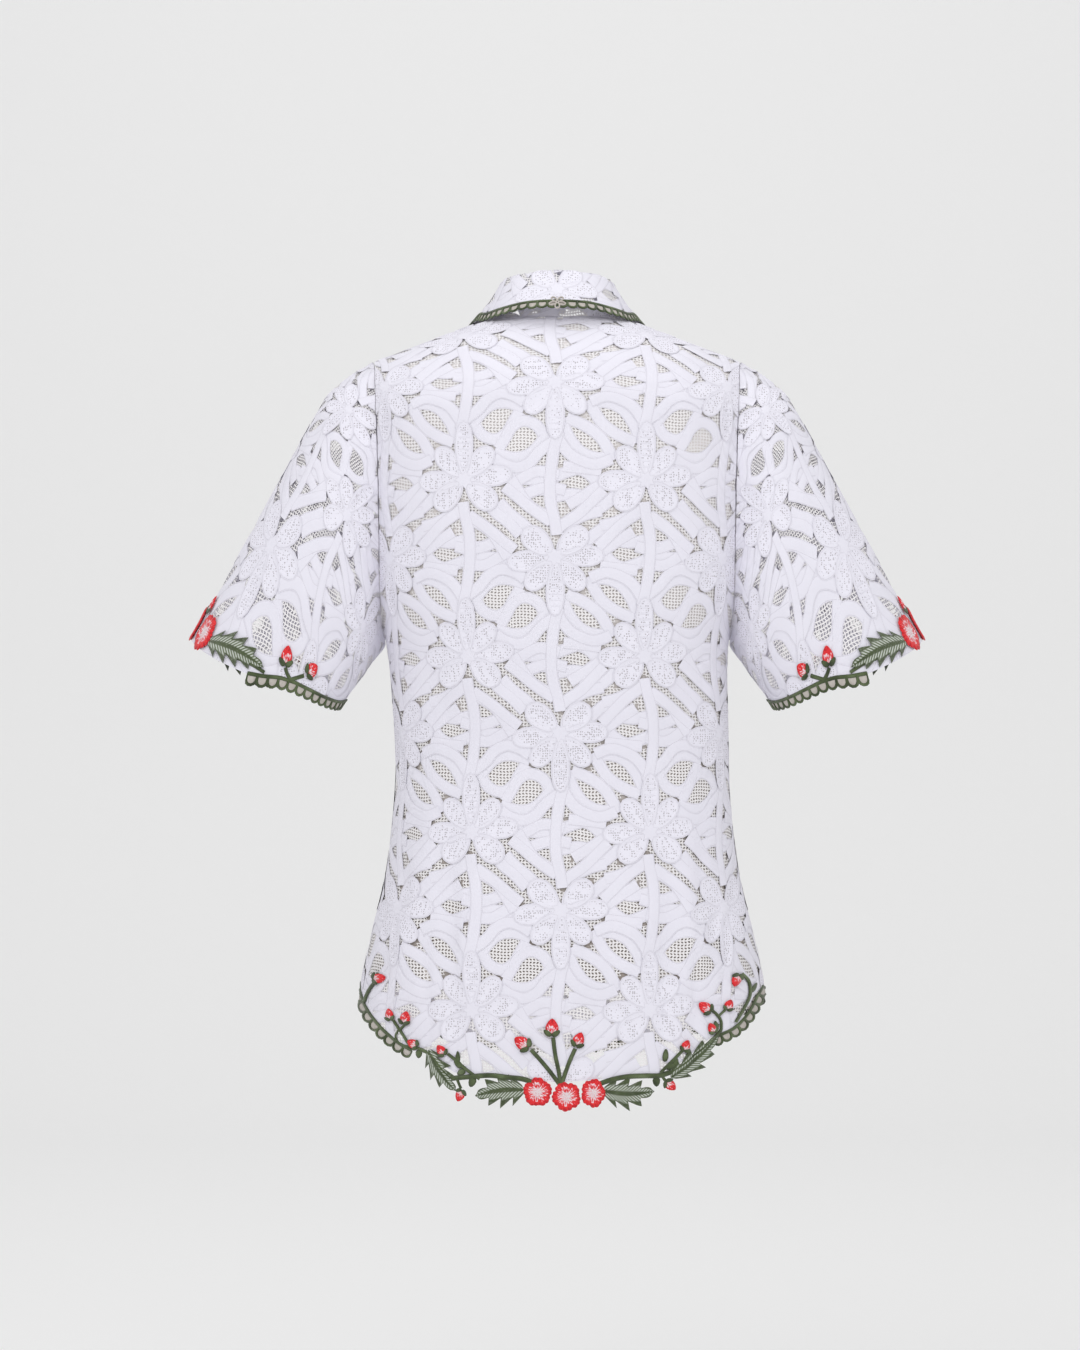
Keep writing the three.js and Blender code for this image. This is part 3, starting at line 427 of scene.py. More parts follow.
ARMHOLE_START_X = x_of_share(ARMHOLE_SHARE, ARMHOLE_CURVE_Z)


def armhole_side(side, t):
    """The armhole's edge beside the yoke: its place x and its height, for t from 0 up to 1."""
    height = ARMHOLE_CURVE_Z + (top_height(side, SHOULDER_TIP_X) - ARMHOLE_CURVE_Z) * t
    return ARMHOLE_START_X + (SHOULDER_TIP_X - ARMHOLE_START_X) * t * t, height


def panel_inside(side, u, v, hem=None, half=0):
    """half is 1 or -1 where the panel is the left or the right half alone."""
    share = u / quarter(side, v)
    x = x_of_share(share, v)
    lowest = lace_hem(side, share) if hem is None else hem
    inside = np.minimum(v - lowest, top_height(side, x) - v)
    inside = np.minimum(inside, (SIDE_SEAM_SHARE - np.abs(share)) * quarter(side, v))
    t = np.clip((v - ARMHOLE_CURVE_Z) / (top_height(side, SHOULDER_TIP_X) - ARMHOLE_CURVE_Z), 0, 1)
    beside_armhole = np.maximum(armhole_bottom(share) - v, armhole_side(side, t)[0] - np.abs(x))
    inside = np.minimum(inside, beside_armhole)
    return np.minimum(inside, half * u - FRONT_GAP_HALF) if half else inside


# %% [markdown]
# The sleeves' form. A sleeve starts at the armhole's edge and runs through its rings to the cuff. Its
# cloth is measured round from the outer line, backwards positive, and up from the cuff's edge.


# %% Sleeve form
def armhole_edge(side, wearer):
    points = [body_point(side, wearer * min(share, 0.999), armhole_bottom(share)) for share in (1, 5.5 / 6)]
    for t in np.linspace(0, 1, 8):
        x, height = armhole_side(side, t)
        points.append(body_point(side, wearer * share_of_x(x, height), height))
    return np.array(points)


def sleeve_side(side, wearer):
    edge = armhole_edge(side, wearer)
    marks = path_lengths(edge)
    marks = marks / marks[-1]

    def ring_point(share, down):
        turn = math.pi * share
        rise = -np.cos(turn) / 2
        sine = np.sin(turn)
        rounded = np.sign(sine) * np.abs(sine) ** (2 / SECTION_POWER)
        value = lambda name: table_value(RINGS, "at", down, name)
        x = (value("topX") + value("underX")) / 2 + rise * (value("topX") - value("underX"))
        z = (value("topZ") + value("underZ")) / 2 + rise * (value("topZ") - value("underZ"))
        return np.stack([wearer * x, side * value("half") * rounded, z - value("dip") * sine], axis=-1)

    def at(share, down):
        pull = 1 - smooth(down / ARMHOLE_REACH)
        point = ring_point(share, down)
        inside = np.clip(share, 0, 1)
        start = np.stack([np.interp(inside, marks, edge[:, i]) for i in range(3)], axis=-1)
        start = start - ring_point(share, np.zeros_like(share))
        start[..., 0] += wearer * ARMHOLE_CLEARANCE
        return point + start * pull[..., None]

    return at


def sleeve_ring(wearer):
    back = sleeve_side(1, wearer)
    front = sleeve_side(-1, wearer)

    def at(turn, down):
        turn, down = np.broadcast_arrays(np.asarray(turn, float), np.asarray(down, float))
        wrapped = np.mod(turn, 2)
        behind = wrapped <= 1
        share = np.where(behind, wrapped, 2 - wrapped)
        return np.where(behind[..., None], back(share, down), front(share, down))

    return at


def sleeve_measures(ring):
    """Lengths down the sleeve at each turn, and half girths at each share of the way down."""
    turns = np.linspace(0, 2, 41)
    downs = np.linspace(0, 1, 41)
    grid = ring(turns[:, None], downs[None, :])
    lengths = np.linalg.norm(np.diff(grid, axis=1), axis=2).sum(axis=1)
    girths = np.linalg.norm(np.diff(grid, axis=0), axis=2).sum(axis=0) / 2
    return turns, lengths, downs, girths


def sleeve_places(measures, a, b):
    turns, lengths, downs, girths = measures
    down = np.full_like(a, 0.6)
    for _ in range(8):
        turn = 1 - a / np.interp(down, downs, girths)
        down = 1 - b / np.interp(np.clip(turn, 0, 2), turns, lengths)
    return turn, down


SLEEVE_RING = {wearer: sleeve_ring(wearer) for wearer in (1, -1)}
SLEEVE_MEASURES = {wearer: sleeve_measures(SLEEVE_RING[wearer]) for wearer in (1, -1)}


def sleeve_cloth(wearer):
    def surface(a, b):
        turn, down = sleeve_places(SLEEVE_MEASURES[wearer], a, b)
        return SLEEVE_RING[wearer](turn, down)

    return surface


def sleeve_inside(wearer, a, b):
    turn, down = sleeve_places(SLEEVE_MEASURES[wearer], a, b)
    lengths = SLEEVE_MEASURES[wearer][1]
    cuff = np.interp(np.abs(a), *zip(*CUFF_LINE))
    inside = np.minimum(b - cuff, down * lengths.mean())
    return np.minimum(inside, (0.999 - np.abs(turn - 1)) * CUFF_HALF)


print("sleeve length at the top:", round(float(SLEEVE_MEASURES[1][1][20]), 1), "mm")

# %% [markdown]
# The collar's form. Its cloth stands up from the neck's edge, rounds over the fold and falls to its
# lower edge. It is measured along from the middle of the back, and up from the lower edge.


# %% Collar form
def collar_rows():
    back = [0, 0.36, 0.68, 0.91]
    front = [1, 0.86, 0.62, 0.34, 0.03]
    bases = []
    for side, parts in ((1, back), (-1, front)):
        for part in parts:
            x = NECK_HALF_WIDTH * part
            height = top_height(side, x)
            bases.append(body_point(side, share_of_x(x, height), height))
    last = len(COLLAR_STATIONS) - 1
    stations = []
    for i in range(-last, last + 1):
        station = COLLAR_STATIONS[abs(i)]
        base = bases[abs(i)]
        mirror = -1 if i < 0 else 1
        row = dict(station, at=i, baseX=mirror * base[0], baseY=base[1], baseZ=base[2] + COLLAR_LIFT)
        row["foldX"] *= mirror
        row["edgeX"] *= mirror
        stations.append(row)
    return columns(stations)


COLLAR = collar_rows()
COLLAR_LAST = len(COLLAR_STATIONS) - 1


def collar_line(station, name):
    place = np.clip(station, -COLLAR_LAST, COLLAR_LAST)
    return np.stack([table_value(COLLAR, "at", place, name + axis) for axis in "XYZ"], axis=-1)


def collar_point(station, up):
    """up is 0 to 1 on the stand, 1 to 2 over the fold and 2 to 3 down the fall."""
    station, up = np.broadcast_arrays(np.asarray(station, float), np.asarray(up, float))
    base = collar_line(station, "base")
    fold = collar_line(station, "fold")
    edge = collar_line(station, "edge")
    out = edge - fold
    out[..., 2] = 0
    out = unit(out)
    lowered = fold - np.array([0, 0, COLLAR_FOLD_RADIUS])
    inner = lowered - out * COLLAR_FOLD_RADIUS
    outer = lowered + out * COLLAR_FOLD_RADIUS
    stand = base + (inner - base) * up[..., None]
    fall = outer + (edge - outer) * (up - 2)[..., None]
    turn = math.pi * (np.clip(up, 1, 2) - 1)
    arch = inner + (outer - inner) * ((1 - np.cos(turn)) / 2)[..., None]
    arch[..., 2] += COLLAR_FOLD_RADIUS * np.sin(turn)
    return np.where((up < 1)[..., None], stand, np.where((up > 2)[..., None], fall, arch))


COLLAR_ARCH = math.pi * COLLAR_FOLD_RADIUS
COLLAR_PLACES = np.linspace(-COLLAR_LAST, COLLAR_LAST, 321)


def collar_measures():
    lengths = path_lengths(collar_point(COLLAR_PLACES, 3.0))
    lengths = lengths - lengths[-1] / 2
    falls = np.linalg.norm(collar_point(COLLAR_PLACES, 3.0) - collar_point(COLLAR_PLACES, 2.001), axis=1)
    stands = np.linalg.norm(collar_point(COLLAR_PLACES, 0.999) - collar_point(COLLAR_PLACES, 0.0), axis=1)
    return lengths, falls, stands


COLLAR_LENGTHS, COLLAR_FALLS, COLLAR_STANDS = collar_measures()


def collar_places(s, t):
    station = np.interp(s, COLLAR_LENGTHS, COLLAR_PLACES)
    fall = np.interp(station, COLLAR_PLACES, COLLAR_FALLS)
    stand = np.interp(station, COLLAR_PLACES, COLLAR_STANDS)
    on_fall = 3 - t / fall
    on_arch = 2 - (t - fall) / COLLAR_ARCH
    on_stand = 1 - (t - fall - COLLAR_ARCH) / stand
    up = np.where(t < fall, on_fall, np.where(t < fall + COLLAR_ARCH, on_arch, on_stand))
    return station, up, fall + COLLAR_ARCH + stand


def collar_cloth(s, t):
    station, up, _ = collar_places(s, t)
    return collar_point(station, up)


def collar_inside(s, t):
    total = collar_places(s, t)[2] + COLLAR_SEAM
    ends = COLLAR_LENGTHS[-1] - 0.5 - np.abs(s)
    return np.minimum(np.minimum(t, total - t), ends)


print("collar edge:", round(float(2 * COLLAR_LENGTHS[-1])), "mm")

# %% [markdown]
# Laying flat work on a form. Every piece is first made flat, as lace is on a lace maker's pillow:
# x and y are millimetres of cloth and z is how far the work stands up. It is cut to its panel's
# outline while flat, and then each corner is moved to its place on the form.

# %% Making flat work
def flat_work():
    bm = bmesh.new()
    for name in ("along", "across", "edge", "rise"):
        bm.verts.layers.float.new(name)
    return bm


def layer(bm, name):
    return bm.verts.layers.float[name]


def add_flat(bm, mesh, turned, x, y):
    """Add a flat mesh, turned half round or not, at a place."""
    first = len(bm.verts)
    bm.from_mesh(mesh)
    bm.verts.ensure_lookup_table()
    sign = -1 if turned else 1
    for vert in bm.verts[first:]:
        vert.co.x = sign * vert.co.x + x
        vert.co.y = sign * vert.co.y + y
        vert.co.z += TURNED_LIFT if turned else 0


def face_up(faces, slot=0):
    """Turn faces of flat work to the side that is seen, and give them their material."""
    for face in faces:
        face.material_index = slot
        face.normal_update()
        if face.normal.z < 0:
            face.normal_flip()


def moved_from(at, angle, ahead, aside=0):
    """The place that lies so far ahead of another and to its left, along an angle."""
    x = at[0] + ahead * math.cos(angle) - aside * math.sin(angle)
    y = at[1] + ahead * math.sin(angle) + aside * math.cos(angle)
    return x, y


def turns_round(count):
    return [2 * math.pi * i / count for i in range(count)]


def cut_outline(bm, inside):
    """Cut away all that lies outside an outline. The height is kept aside while the outline's
    measure stands in for it, so that one level cut follows any curve."""
    keep = layer(bm, "rise")
    verts = list(bm.verts)
    co = np.array([vert.co[:] for vert in verts])
    measure = inside(co[:, 0], co[:, 1])
    for vert, value in zip(verts, measure):
        vert[keep] = vert.co.z
        vert.co.z = value
    everything = list(bm.verts) + list(bm.edges) + list(bm.faces)
    bmesh.ops.bisect_plane(
        bm, geom=everything, dist=1e-5, plane_co=(0, 0, 0), plane_no=(0, 0, 1), clear_inner=True,
    )
    for vert in bm.verts:
        vert.co.z = vert[keep]


def raised(surface, facing, u, v, rise):
    step = 0.4
    du = surface(u + step, v) - surface(u - step, v)
    dv = surface(u, v + step) - surface(u, v - step)
    normal = np.cross(du, dv)
    length = np.maximum(np.linalg.norm(normal, axis=1, keepdims=True), 1e-9)
    return surface(u, v) + facing * normal / length * rise[:, None]


def finished_mesh(bm, name):
    mesh = bpy.data.meshes.new(name)
    bm.to_mesh(mesh)
    bm.free()
    mesh.polygons.foreach_set("use_smooth", np.ones(len(mesh.polygons), dtype=bool))
    return mesh


def laid(bm, name, surface, facing, rise):
    """Move flat work on to its form."""
    if facing < 0:
        bmesh.ops.reverse_faces(bm, faces=bm.faces[:])
    bmesh.ops.triangulate(bm, faces=[face for face in bm.faces if len(face.verts) > 4])
    mesh = finished_mesh(bm, name)
    co = np.empty(len(mesh.vertices) * 3)
    mesh.vertices.foreach_get("co", co)
    co = co.reshape(-1, 3)
    placed = raised(surface, facing, co[:, 0], co[:, 1], rise + co[:, 2]) * MM
    mesh.vertices.foreach_set("co", placed.ravel())
    return mesh


def linked(name, data):
    """A new object of the scene."""
    thing = bpy.data.objects.new(name, data)
    bpy.context.scene.collection.objects.link(thing)
    return thing


def make_piece(name, meshes, material_names, slot, *nodes):
    """Make one or more meshes a piece of the garment, in the place of its solids."""
    mesh = meshes[0]
    if len(meshes) > 1:
        bm = bmesh.new()
        for part in meshes:
            bm.from_mesh(part)
        bm.to_mesh(mesh)
        bm.free()
    for material_name in material_names:
        mesh.materials.append(bpy.data.materials[material_name])
    mesh.update()
    piece = linked(name, mesh)
    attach(piece, "root")
    if nodes:
        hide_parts(*nodes)
    print(name, "has", sum(len(p.vertices) - 2 for p in mesh.polygons), "triangles")
    return piece


def smooth_path(points, step):
    """Points at even steps along a smooth curve through a few given ones."""
    points = np.array(points, dtype=float)
    chord = path_lengths(points)
    table = {"at": chord, "x": points[:, 0], "y": points[:, 1]}
    fine = np.linspace(0, chord[-1], max(3, int(math.ceil(chord[-1] / step)) + 1))
    return np.stack([table_value(table, "at", fine, "x"), table_value(table, "at", fine, "y")], axis=1)


def grid_places(bm, columns_count, rows_count):
    """Make a flat grid, and give each of its corners with its column and its row."""
    made = bmesh.ops.create_grid(bm, x_segments=columns_count, y_segments=rows_count, size=1)
    places = []
    for vert in made["verts"]:
        i = round((vert.co.x + 1) / 2 * columns_count)
        j = round((vert.co.y + 1) / 2 * rows_count)
        places.append((vert, i, j))
    return places, {face for vert in made["verts"] for face in vert.link_faces}


def ribbon(bm, points, half_width, profile, lift, slot, step=4.2):
    """A strip along a curve. profile lists offsets as shares of the half width, and heights."""
    path = smooth_path(points, step)
    direction = unit(np.gradient(path, axis=0))
    normal = np.stack([-direction[:, 1], direction[:, 0]], axis=1)
    marks = path_lengths(path)
    places, faces = grid_places(bm, len(path) - 1, len(profile) - 1)
    for vert, i, j in places:
        offset, height = profile[j]
        place = path[i] + normal[i] * offset * half_width
        vert.co = (place[0], place[1], lift + height)
        vert[layer(bm, "along")] = marks[i]
        vert[layer(bm, "across")] = offset * half_width
        vert[layer(bm, "edge")] = abs(offset)
    for face in faces:
        face.material_index = slot


def drawn_in(outline, share, centre):
    """An outline drawn in towards a centre."""
    cx, cy = centre
    return [(cx + (x - cx) * share, cy + (y - cy) * share) for x, y in outline]


def stepped_rings(outline, ring_rows, centre):
    """Rings for a patch, from rows of how far in they lie, their height, slot and share outwards."""
    return [(drawn_in(outline, share, centre), *rest) for share, *rest in ring_rows]


def patch(bm, outline, rings, lift, slot, centre):
    """A flat shape with rings stepped in from its edge. Each ring gives its inner outline, with as
    many corners as the first, its height, its slot and its share from the middle to the edge."""
    made = bmesh.ops.create_circle(bm, cap_ends=True, segments=len(outline), radius=1)
    for vert, (x, y) in zip(made["verts"], outline):
        vert.co = (x, y, lift)
        vert[layer(bm, "edge")] = 1
    face = next(iter({face for vert in made["verts"] for face in vert.link_faces}))
    face_up([face])
    touched = set(made["verts"])
    before = np.array(outline)
    for inner, height, ring_slot, edge in rings:
        ring = bmesh.ops.inset_individual(bm, faces=[face], thickness=0)
        for ring_face in ring["faces"]:
            ring_face.material_index = ring_slot
        for vert in face.verts:
            corner = int(np.argmin(np.hypot(before[:, 0] - vert.co.x, before[:, 1] - vert.co.y)))
            vert.co = (inner[corner][0], inner[corner][1], lift + height)
            vert[layer(bm, "edge")] = edge
            touched.add(vert)
        before = np.array(inner)
    face.material_index = slot
    for vert in touched:
        dx = vert.co.x - centre[0]
        dy = vert.co.y - centre[1]
        vert[layer(bm, "along")] = math.hypot(dx, dy)
        vert[layer(bm, "across")] = math.atan2(dy, dx)
    return touched

# %% [markdown]
# Materials. The lace is matt white cotton with a faint lavender cast, woven finely, with a stitched
# line just inside the edges of each tape. The nets are a little thinner and warmer. The embroidery is
# satin stitch: close parallel threads with a slight sheen. All patterns are worked out from the
# object's own coordinates or from measures kept on the cloth.


# %% Materials
class Paint:
    """A material and the few kinds of nodes that the cloths here are painted with."""

    def __init__(self, name, roughness, sheen=0.0, specular=0.25):
        material = bpy.data.materials.new(name)
        material.use_nodes = True
        self.material = material
        self.tree = material.node_tree
        self.shader = self.tree.nodes["Principled BSDF"]
        self.shader.inputs["Roughness"].default_value = roughness
        self.shader.inputs["Sheen Weight"].default_value = sheen
        self.shader.inputs["Sheen Roughness"].default_value = 0.5
        self.shader.inputs["Specular IOR Level"].default_value = specular

    def add(self, kind, **settings):
        node = self.tree.nodes.new("ShaderNode" + kind)
        for name, value in settings.items():
            if name in node.inputs:
                self.feed(node.inputs[name], value)
            else:
                setattr(node, name, value)
        return node

    def feed(self, socket, value):
        """Set a socket to a constant, or link it to another node's output."""
        if isinstance(value, bpy.types.NodeSocket):
            self.tree.links.new(value, socket)
        else:
            socket.default_value = value

    def attribute(self, name):
        return self.add("Attribute", attribute_name=name).outputs["Fac"]

    def calc(self, operation, a, b=None, clamp=False):
        node = self.add("Math", operation=operation, use_clamp=clamp)
        self.feed(node.inputs[0], a)
        if b is not None:
            self.feed(node.inputs[1], b)
        return node.outputs[0]

    def times(self, a, b):
        return self.calc("MULTIPLY", a, b)

    def plus(self, a, b, clamp=False):
        return self.calc("ADD", a, b, clamp)

    def minus(self, a, b):
        return self.calc("SUBTRACT", a, b)

    def ramp(self, value, *stops):
        node = self.add("ValToRGB", Fac=value)
        elements = node.color_ramp.elements
        elements[0].position, elements[0].color = stops[0]
        elements[1].position, elements[1].color = stops[-1]
        for position, colour in stops[1:-1]:
            elements.new(position).color = colour
        return node.outputs["Color"]

    def mix(self, factor, a, b):
        node = self.add("Mix", data_type="RGBA")
        for name, value in (("Factor", factor), ("A", a), ("B", b)):
            self.feed(next(s for s in node.inputs if s.name == name and s.enabled), value)
        return next(s for s in node.outputs if s.enabled)

    def places(self, scale=1):
        """The object's own coordinates, in metres, or in millimetres at a scale of 1000."""
        vector = self.add("TexCoord").outputs["Object"]
        return self.add("Mapping", Vector=vector, Scale=(scale, scale, scale)).outputs["Vector"]

    def noise(self, scale, detail=2, vector=None):
        return self.add("TexNoise", Scale=scale, Detail=detail, Vector=vector or self.places()).outputs["Fac"]

    def wave(self, value, pitch):
        return self.calc("SINE", self.times(value, 2 * math.pi / pitch))

    def weave(self, pitch):
        """Crossed threads: two sets of fine bands at right angles."""
        split = self.add("SeparateXYZ", Vector=self.places(1000))
        x, y, z = (self.wave(split.outputs[axis], pitch) for axis in "XYZ")
        return self.plus(self.times(y, z), self.times(x, z))

    def threads(self, pitch, slant):
        """Close parallel threads laid across a stem or leaf at a slant."""
        lean = self.times(self.attribute("across"), slant)
        return self.wave(self.plus(self.attribute("along"), lean), pitch)

    def bump(self, height, strength, distance):
        node = self.add("Bump", Strength=strength, Distance=distance, Height=height)
        self.feed(self.shader.inputs["Normal"], node.outputs["Normal"])

    def colour(self, value):
        self.feed(self.shader.inputs["Base Color"], value)


def grey(value):
    return (value, value, value, 1)


WHITE_TAPE = (0.855, 0.84, 0.925, 1)
WHITE_TAPE_SHADE = (0.795, 0.78, 0.865, 1)
SEAM_LINE = (0.58, 0.55, 0.62, 1)
PETAL_DOT = (0.36, 0.33, 0.35, 1)
WHITE_NET = (0.88, 0.86, 0.87, 1)
NET_SHADE = (0.80, 0.775, 0.785, 1)
LINING_HIGH = (0.90, 0.86, 0.85, 1)
LINING_PAINTED_SHADE = (0.40, 0.35, 0.32, 1)
GREEN_DARK = (0.040, 0.056, 0.022, 1)
GREEN_MID = (0.110, 0.150, 0.060, 1)
GREEN_LIGHT = (0.21, 0.27, 0.13, 1)
SILVER = (0.66, 0.70, 0.64, 1)
RED = (0.80, 0.025, 0.030, 1)
RED_DEEP = (0.55, 0.012, 0.02, 1)
PINK = (0.92, 0.50, 0.56, 1)
PALE = (0.92, 0.86, 0.88, 1)
SCALLOP_DARK = (0.46, 0.42, 0.38, 1)
SCALLOP_PALE = (0.64, 0.60, 0.56, 1)
BLACK = grey(0)
WHITE = grey(1)


def paint_tape():
    """Woven tape with a fine stitched line just inside each of its edges."""
    paint = Paint("lace_tape", 0.85, sheen=0.15)
    base = paint.mix(paint.noise(28, 3), WHITE_TAPE_SHADE, WHITE_TAPE)
    line = paint.ramp(
        paint.attribute("edge"), (0.0, BLACK), (0.80, BLACK), (0.86, WHITE), (0.92, BLACK), (1.0, grey(0.4)),
    )
    stitch = paint.times(paint.wave(paint.attribute("along"), 1.7), 0.25)
    dashed = paint.times(line, paint.plus(stitch, 0.6))
    paint.colour(paint.mix(dashed, base, SEAM_LINE))
    paint.bump(paint.minus(paint.times(paint.weave(0.75), 0.25), line), 0.5, 0.0004)


def paint_petal():
    """The ground inside a petal: close net that is almost solid, with small dots."""
    paint = Paint("lace_petal", 0.9)
    cells = paint.add("TexVoronoi", Scale=470.0, Randomness=0.5, Vector=paint.places())
    dots = paint.ramp(cells.outputs["Distance"], (0.0, WHITE), (0.24, grey(0.9)), (0.38, BLACK))
    base = paint.mix(paint.noise(60), WHITE_TAPE_SHADE, WHITE_TAPE)
    paint.colour(paint.mix(paint.times(dots, 0.75), base, PETAL_DOT))
    paint.bump(paint.minus(1.0, dots), 0.5, 0.0005)


def paint_net():
    paint = Paint("lace_net", 0.9)
    paint.colour(paint.mix(paint.noise(90), NET_SHADE, WHITE_NET))
    paint.bump(paint.noise(1.2, vector=paint.places(1000)), 0.4, 0.0003)


def paint_lining():
    """Fine plain cloth, nearly white high up and darkened to a warm grey low down as painted shade, where
    less light gets in.
    """
    paint = Paint("lining_cloth", 0.75, sheen=0.1)
    height = paint.add("SeparateXYZ", Vector=paint.places()).outputs["Z"]
    # Painted shade: the lining's colour grows darker towards its bottom, where less light reaches it.
    up = paint.plus(paint.times(height, 1.75), 1.03, clamp=True)
    uneven = paint.times(paint.minus(paint.noise(14), 0.5), 0.35)
    paint.colour(paint.mix(paint.plus(up, uneven, clamp=True), LINING_PAINTED_SHADE, LINING_HIGH))
    paint.bump(paint.weave(0.5), 0.25, 0.0001)


def paint_stem():
    paint = Paint("stem_thread", 0.55, sheen=0.25)
    threads = paint.threads(0.9, 0.7)
    shade = paint.ramp(paint.noise(70), (0.30, GREEN_DARK), (0.52, GREEN_MID), (0.75, GREEN_LIGHT))
    streak = paint.plus(paint.times(threads, 0.25), 0.25, clamp=True)
    rim = paint.ramp(paint.attribute("edge"), (0.0, BLACK), (0.5, BLACK), (1.0, grey(0.7)))
    paint.colour(paint.mix(paint.plus(streak, rim, clamp=True), shade, GREEN_DARK))
    paint.bump(threads, 0.6, 0.0004)


def paint_leaf():
    """Olive at the edge and the midrib, silver-white between, with green hatching from the rib."""
    paint = Paint("leaf_thread", 0.5, sheen=0.3)
    edge = paint.attribute("edge")
    rim = paint.ramp(
        edge, (0.0, WHITE), (0.10, WHITE), (0.18, BLACK), (0.48, BLACK), (0.64, WHITE), (1.0, WHITE),
    )
    rough = paint.times(paint.minus(paint.noise(420), 0.5), 0.9)
    wavy = paint.plus(rim, rough, clamp=True)
    threads = paint.plus(paint.threads(3.0, 1.2), 0.5, clamp=True)
    fade = paint.ramp(edge, (0.0, WHITE), (0.45, grey(0.95)), (0.85, BLACK))
    silver = paint.mix(paint.times(threads, fade), SILVER, GREEN_MID)
    paint.colour(paint.mix(wavy, silver, paint.mix(paint.noise(90), GREEN_DARK, GREEN_MID)))
    paint.bump(paint.threads(0.75, 0.9), 0.6, 0.0004)


def paint_bloom():
    """Red satin stitch that runs out from the middle, with pale pink and white streaks there."""
    paint = Paint("bloom_thread", 0.5, sheen=0.2)
    around = paint.attribute("across")
    far = paint.times(paint.attribute("along"), 0.09)
    rays = paint.add("CombineXYZ", X=paint.times(around, 2.1), Y=far).outputs[0]
    streak = paint.minus(paint.noise(3.4, vector=rays), 0.5)
    reach = paint.plus(paint.attribute("edge"), paint.times(streak, 2.3))
    paint.colour(paint.ramp(reach, (0.0, PALE), (0.30, PINK), (0.42, RED), (0.85, RED), (1.0, RED_DEEP)))
    paint.bump(paint.calc("SINE", paint.times(around, 46)), 0.5, 0.0004)


def paint_scallop():
    paint = Paint("scallop_cloth", 0.85)
    paint.colour(paint.mix(paint.noise(160), SCALLOP_DARK, SCALLOP_PALE))
    paint.bump(paint.weave(0.8), 0.4, 0.0003)


for paint_cloth in (paint_tape, paint_petal, paint_net, paint_lining,
                    paint_stem, paint_leaf, paint_bloom, paint_scallop):
    paint_cloth()
LACE_MATERIALS = ["lace_tape", "lace_petal", "lace_net"]
STITCH_MATERIALS = ["stem_thread", "leaf_thread", "bloom_thread", "scallop_cloth"]
TAPE, PETAL, NET = 0, 1, 2
STEM, LEAF, BLOOM, SCALLOP = 0, 1, 2, 3
print("materials:", len(bpy.data.materials))

# %% [markdown]
# One repeat of the lace. A six-petalled flower with one long petal like a ladder stands on a stem of
# woven tape, and curved tapes run from the stem round the petals to the next columns. A lace maker
# tacks such tapes on paper and fills the gaps with needle net. The tapes are ribbons with raised
# edges, the petals are shapes with rings stepped in, and the net is a grid with its holes cut out.

# %% One repeat of lace
TILE_WIDTH = 81
TILE_HEIGHT = 160
TURNED_DROP = 90
TURNED_LIFT = 0.02
TAPE_HALF = 5.5
TAPE_PROFILE = [(-1, -0.06), (-0.86, 0.08), (0, 0.11), (0.86, 0.08), (1, -0.06)]
THIN_PROFILE = [(-1, 0), (0, 0.25), (1, 0)]
TAPE_STEP = 4.6
LIFT_STEP = 0.03

# Tapes of one repeat, as seen from outside, from the lowest to the uppermost.
TAPES = [
    [(-74, -34), (-72, -38), (-65, -49), (-53, -53.5), (-43, -48), (-37, -38), (-31, -28)],
    [(-72, -38), (-62, -26), (-52, -20.5), (-40, -20.5), (-27, -25)],
    [(31, -20), (46, -20), (58, -25), (66, -34), (72, -45), (75, -56)],
    [(10, -34), (26, -41), (39, -50.5), (46, -61), (52, -72)],
    [(-2, -88), (12, -82.5), (21, -80.5), (30, -85), (38, -93)],
    [(-2, -106), (13.5, -103), (25, -105), (34, -111)],
    [(0, -95), (-19, -90), (-30, -89), (-39, -85)],
    [(-50, -110), (-40, -121), (-30, -129), (-24, -135)],
    [(55, -128), (42, -134), (33, -141), (26, -148)],
    [(40, -8), (55, -10), (74, -12)],
    [(70, 23), (55, 14), (42, 5)],
    [(70, 40), (55, 32), (40, 28)],
    [(2, 58), (-13.5, 61), (-25, 57), (-34, 50)],
    [(-90, 10), (-76, 7), (-62, 10), (-50, 15)],
    [(-84, -4), (-65, -7.5), (-48, 1)],
    [(0, -54), (-13.5, -64), (-22, -74), (-33, -79), (-45, -76), (-54, -70)],
    [(2, -52), (12, -66), (23.5, -73), (36, -76), (50, -71)],
    [(43, -99), (32, -110), (20.6, -121), (9, -129), (0, -136)],
    [(-39, -89), (-30.6, -103), (-23.5, -113), (-13.5, -120), (-2, -125)],
    [(-3.6, 32), (-14, 39), (-24, 46.5), (-35, 56), (-45, 64)],
    [(3, -46), (-1, -62), (-4, -84), (-4.5, -103), (-3, -117), (0, -129), (1.5, -140)],
]

# Petals: which way they point, how far out they start, and their length and width.
PETALS = rows(
    "angle start length width",
    (178, 3, 41, 20), (352, 3, 41, 20), (137, 3, 35, 23), (42, 3, 35, 23), (229, 3, 36, 20), (311, 3, 36, 20),
)
LADDER = dict(angle=270, start=2, length=52, width=17.5)
LADDER_RUNGS = 7
PETAL_LIFT = 0.68
PETAL_STEP = 0.035
PETAL_SIDES = 16
STAR_CORNERS = 14
STAR_REACH = (6, 9.5)
STAR_RINGS = [(0.92, 0.12, TAPE, 0.9), (0.7, 0.14, TAPE, 0.5)]


